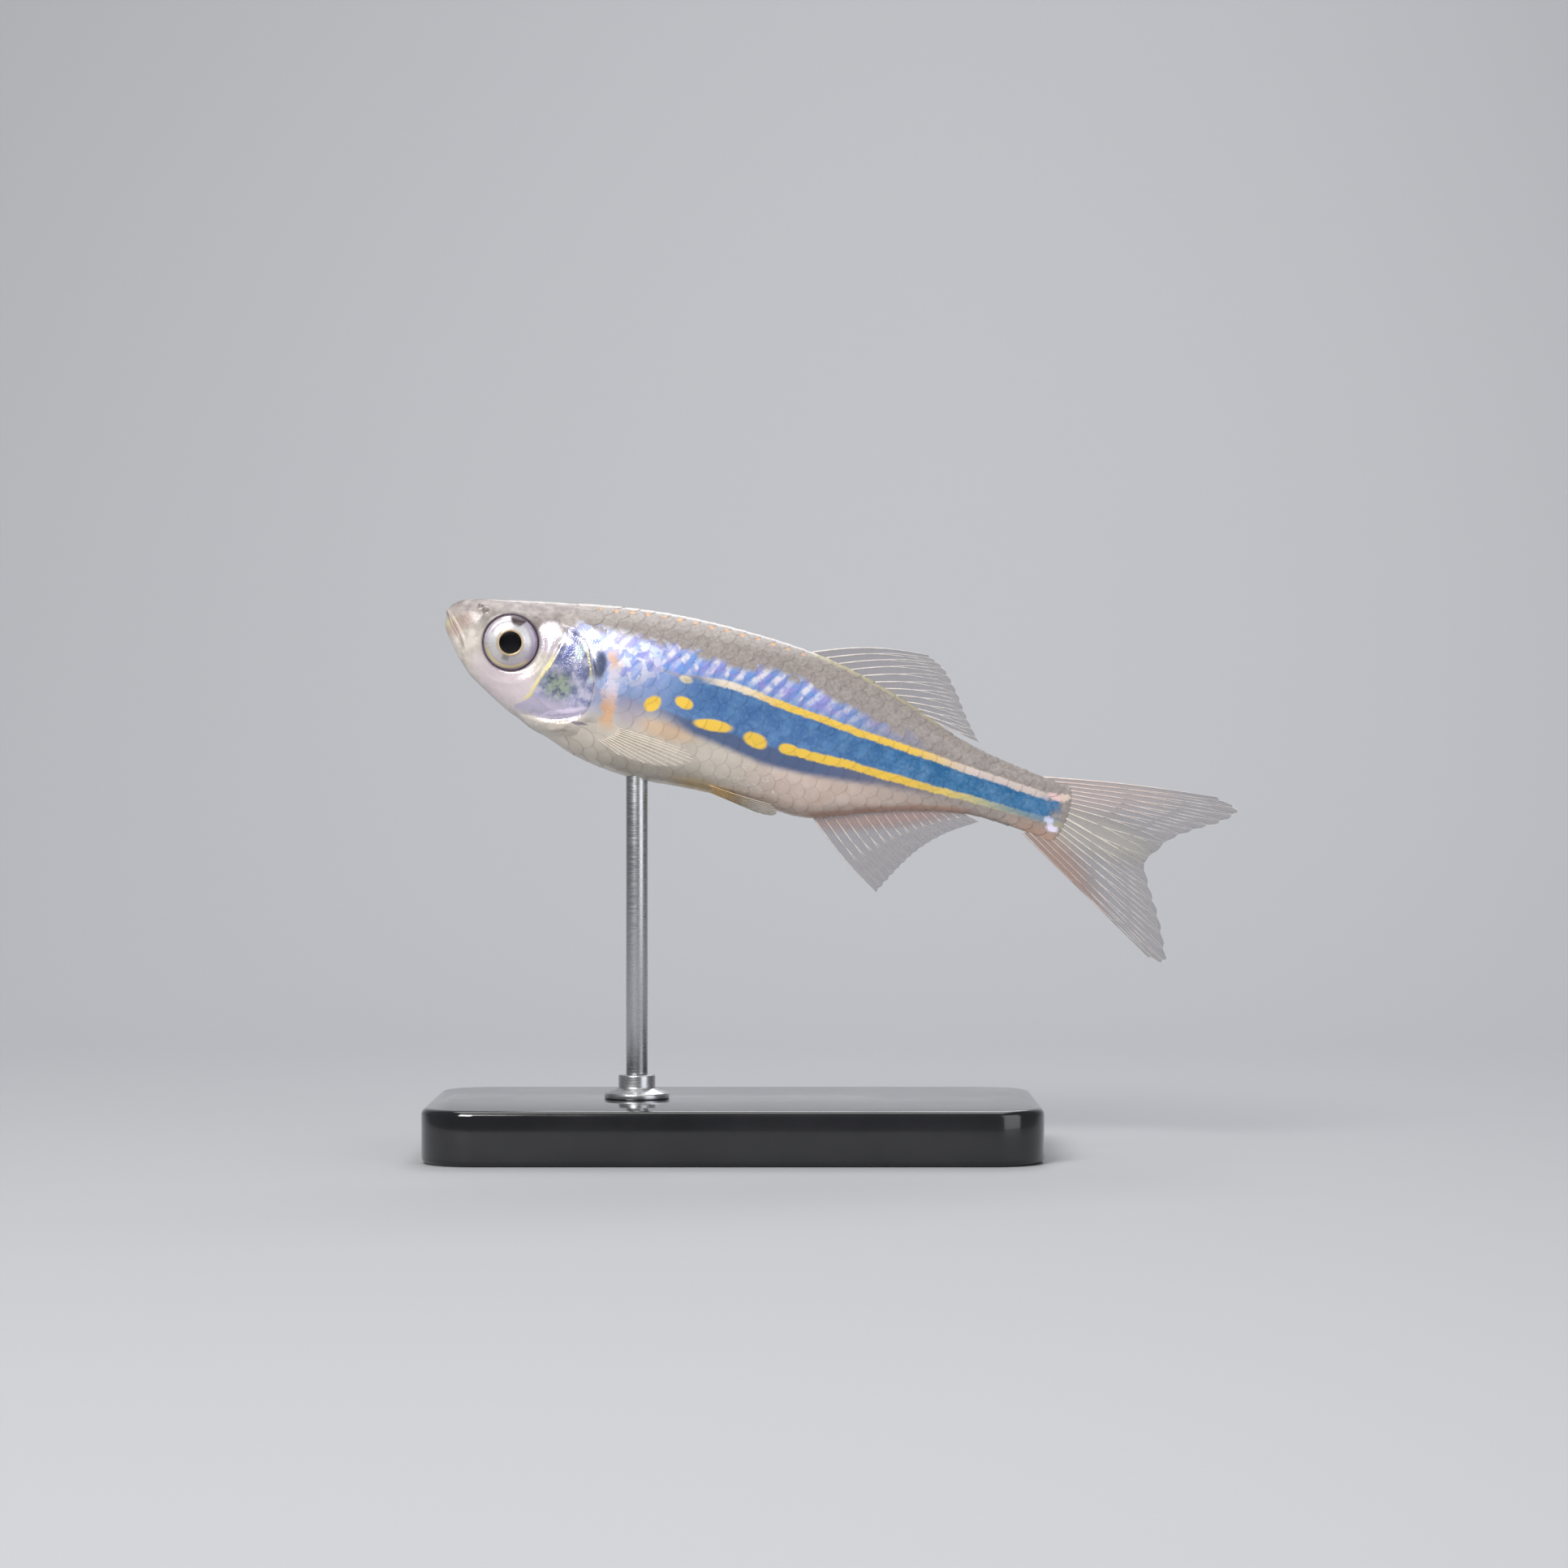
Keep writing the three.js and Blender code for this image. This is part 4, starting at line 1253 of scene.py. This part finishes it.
def make_eye_material():
    """The eye's colours, with x, z and the distance from its middle in mm."""
    p, shader = new_material("fish eye")
    own = p.mapped(p.fish_place(), (EYE[0], 0, EYE[1]), (MM / LENGTH, THROUGH, MM / LENGTH))
    x, _, z = p.split(own)
    out = p.vector("LENGTH", own, out="Value")
    aside = p.math("ABSOLUTE", x)
    angle = p.math("ARCTAN2", z, x)
    round_eye = [p.math("MULTIPLY", p.math(way, angle), 3.0) for way in ("COSINE", "SINE")]
    streak_place = p.add("ShaderNodeCombineXYZ", [*round_eye, p.math("MULTIPLY", out, 0.35)]).outputs[0]
    streaks = p.noise(streak_place, 3.0, 3, 0.5)
    colour = p.blend(streaks, 0.25, 0.6, (238, 232, 240), (255, 252, 254))
    # Painted light and shade: the iris whiter at its front and top, greyer towards its rear and bottom
    colour = p.blend(p.less(x, z), 0.2, 2.6, colour, (186, 174, 198), 0.5)
    # Greyer again towards the bottom
    colour = p.blend(z, 0.4, -1.6, colour, (176, 172, 160), 0.45)
    # The lavender ring round the iris, stronger towards its rear and bottom, where it is partly painted shade
    rear = p.rise(p.math("MULTIPLY_ADD", z, -0.5, x), -1.8, 1.2, 0.3, 0.8)
    rim = p.rise(out, 2.4, 2.5)
    pupil = p.fall(out, 1.0, 1.07)
    # A dark notch at the iris's top, painted shade
    notch_half = p.rise(z, 1.15, 2.5, 0.1, 0.8)
    for mask, tint in (
        (p.both(p.rise(out, 1.75, 2.25), rear), (172, 154, 184)),
        (p.both(p.fall(out, 1.14, 1.36), 0.75), (228, 198, 140)),
        (p.both(p.near(out, 2.22, 0.06, 0.17), p.rise(z, -0.6, -1.5), 0.85), (244, 226, 150)),
        (p.both(p.fall(p.less(aside, notch_half), -0.16, 0.2), p.rise(z, 1.35, 1.9), 0.92), (78, 60, 64)),
        (p.both(p.fall(aside, 0.15, 0.5), p.rise(z, -1.1, -1.3), p.fall(z, -1.5, -1.85), 0.55), (96, 78, 70)),
        (rim, (92, 78, 98)),
        (pupil, (6, 4, 12)),
    ):
        colour = p.mix(mask, colour, tint)
    shiny = p.both(p.fall(pupil, 0.0, 1.0), p.fall(rim, 0.0, 1.0), 0.45)
    p.feed(shader, {"Base Color": colour, "Metallic": shiny, "Specular IOR Level": 0.1})
    p.feed(shader, {"Roughness": p.rise(streaks, 0.3, 0.7, 0.28, 0.36)})
    add_bump(p, shader, streaks, 0.01 * MM, 0.2)


def make_cornea_material():
    p, shader = new_material("clear cornea")
    ripple = p.rise(p.noise(p.fish_place(), 30, 1, 0.5), 0.3, 0.7, 0.0, 0.02)
    p.feed(shader, {"Base Color": (255, 255, 255), "Roughness": ripple})
    p.feed(shader, {"Transmission Weight": 1.0, "IOR": 1.2})


def make_stand_materials():
    p, shader = new_material("black acrylic")
    where = p.add("ShaderNodeTexCoord").outputs["Object"]
    p.feed(shader, {
        "Base Color": p.blend(p.noise(where, 140, 3, 0.6), 0.3, 0.7, (20, 20, 23), (30, 30, 34)),
        "Roughness": p.rise(p.noise(where, 60, 4, 0.7), 0.3, 0.7, 0.1, 0.2),
        "Coat Weight": 0.5,
        "Coat Roughness": 0.05,
    })

    p, shader = new_material("satin steel")
    where = p.add("ShaderNodeTexCoord").outputs["Object"]
    turned = p.add("ShaderNodeMapping", {"Vector": where, "Scale": (1, 1, 14)}).outputs[0]
    lines = p.noise(turned, 900, 2, 0.6)
    p.feed(shader, {
        "Base Color": p.mix(lines, (176, 177, 180), (206, 206, 208)),
        "Metallic": 1.0,
        "Roughness": p.rise(lines, 0.3, 0.7, 0.24, 0.38),
    })
    add_bump(p, shader, lines, 0.01 * MM, 0.3)


# Floor, light and camera
CAMERA_PLACE = (4.6 * MM, -402.5 * MM, 34.05 * MM)
CAMERA_LENS = 100
CAMERA_NEAR = 0.01
FLOOR_HALF = 0.9
COVE_START = 0.16
COVE_RADIUS = 0.22
COVE_STEPS = 24
WALL_TOP = 0.9
LIGHTS = [  # name, place, size, watts, colour
    ("key", (-0.2, -0.4, 0.36), 0.22, 2.8, (1.0, 0.98, 0.96)),
    ("fill", (0.45, -0.4, 0.2), 0.4, 0.9, (0.93, 0.96, 1.0)),
    ("top", (0.0, 0.05, 0.55), 0.45, 1.6, (1.0, 1.0, 1.0)),
    ("back", (0.05, 0.33, 0.34), 0.2, 0.55, (0.97, 0.98, 1.0)),
]
LIGHT_AIM = Vector((0, 0, 0.04))
ROOM_COLOUR = (0.8, 0.83, 0.88, 1)
ROOM_STRENGTH = 0.22


def make_floor():
    """A floor that sweeps up behind the model."""
    p, shader = new_material("pale floor")
    where = p.add("ShaderNodeTexCoord").outputs["Object"]
    colour = p.mix(p.noise(where, 3, 2, 0.5), (162, 164, 168), (168, 169, 172))
    p.feed(shader, {"Base Color": colour, "Roughness": 0.7})
    bm = bmesh.new()
    path = [bm.verts.new((-FLOOR_HALF, -FLOOR_HALF, 0)), bm.verts.new((-FLOOR_HALF, COVE_START, 0))]
    bm.edges.new(path)
    bmesh.ops.spin(
        bm, geom=[path[1]], axis=(1, 0, 0), cent=(0, COVE_START, COVE_RADIUS), angle=math.pi / 2,
        steps=COVE_STEPS, use_merge=False,
    )
    top = max(bm.verts, key=lambda v: (v.co.z, v.co.y))
    bm.edges.new((top, bm.verts.new((-FLOOR_HALF, top.co.y, WALL_TOP))))
    swept = bmesh.ops.extrude_edge_only(bm, edges=bm.edges[:])["geom"]
    bmesh.ops.translate(bm, verts=only(swept, bmesh.types.BMVert), vec=(2 * FLOOR_HALF, 0, 0))
    bmesh.ops.recalc_face_normals(bm, faces=bm.faces)
    mesh_object(bm, "floor", ["pale floor"])


def place_in_scene(name, data, place):
    thing = bpy.data.objects.new(name, data)
    thing.location = place
    bpy.context.scene.collection.objects.link(thing)
    return thing


def make_lights():
    scene = bpy.context.scene
    for name, place, size, watts, colour in LIGHTS:
        light = bpy.data.lights.new(name, "AREA")
        light.size = size
        light.energy = watts
        light.color = colour
        lamp = place_in_scene(name, light, place)
        lamp.rotation_euler = (LIGHT_AIM - Vector(place)).to_track_quat("-Z", "Y").to_euler()
    scene.world = bpy.data.worlds.new("studio")
    scene.world.use_nodes = True
    room = scene.world.node_tree.nodes["Background"]
    room.inputs["Color"].default_value = ROOM_COLOUR
    room.inputs["Strength"].default_value = ROOM_STRENGTH
    scene.view_settings.view_transform = "Standard"


def make_camera():
    lens = bpy.data.cameras.new("camera")
    lens.lens = CAMERA_LENS
    lens.clip_start = CAMERA_NEAR
    camera = place_in_scene("camera", lens, CAMERA_PLACE)
    camera.rotation_euler = (math.pi / 2, 0, 0)
    bpy.context.scene.camera = camera


make_camera()
make_lights()
make_floor()
make_markings()
make_skin_material()
make_scale_material()
make_fin_materials()
make_eye_material()
make_cornea_material()
make_stand_materials()

make_skin()
for word, side, seed in (("right", 1, 11), ("left", -1, 12)):
    make_scales("scales_" + word, side, seed)
    make_eye("eye_ball_" + word, side, "eye_" + word)
    make_cornea("cornea_" + word, side)
    for fin, sizes in PAIRED_FINS.items():
        make_fin(f"{fin}_{word}", sizes, side, PAIRED_RAY_ROOT)
for fin, sizes in FINS.items():
    make_fin(fin, sizes, 1, RAY_ROOT)
make_base()
make_turned("stand_collar_turned", COLLAR_PROFILE, BASE_THICK, "stand_collar")
make_turned("stand_rod_turned", ROD_PROFILE, COLLAR_TOP, "stand_rod")
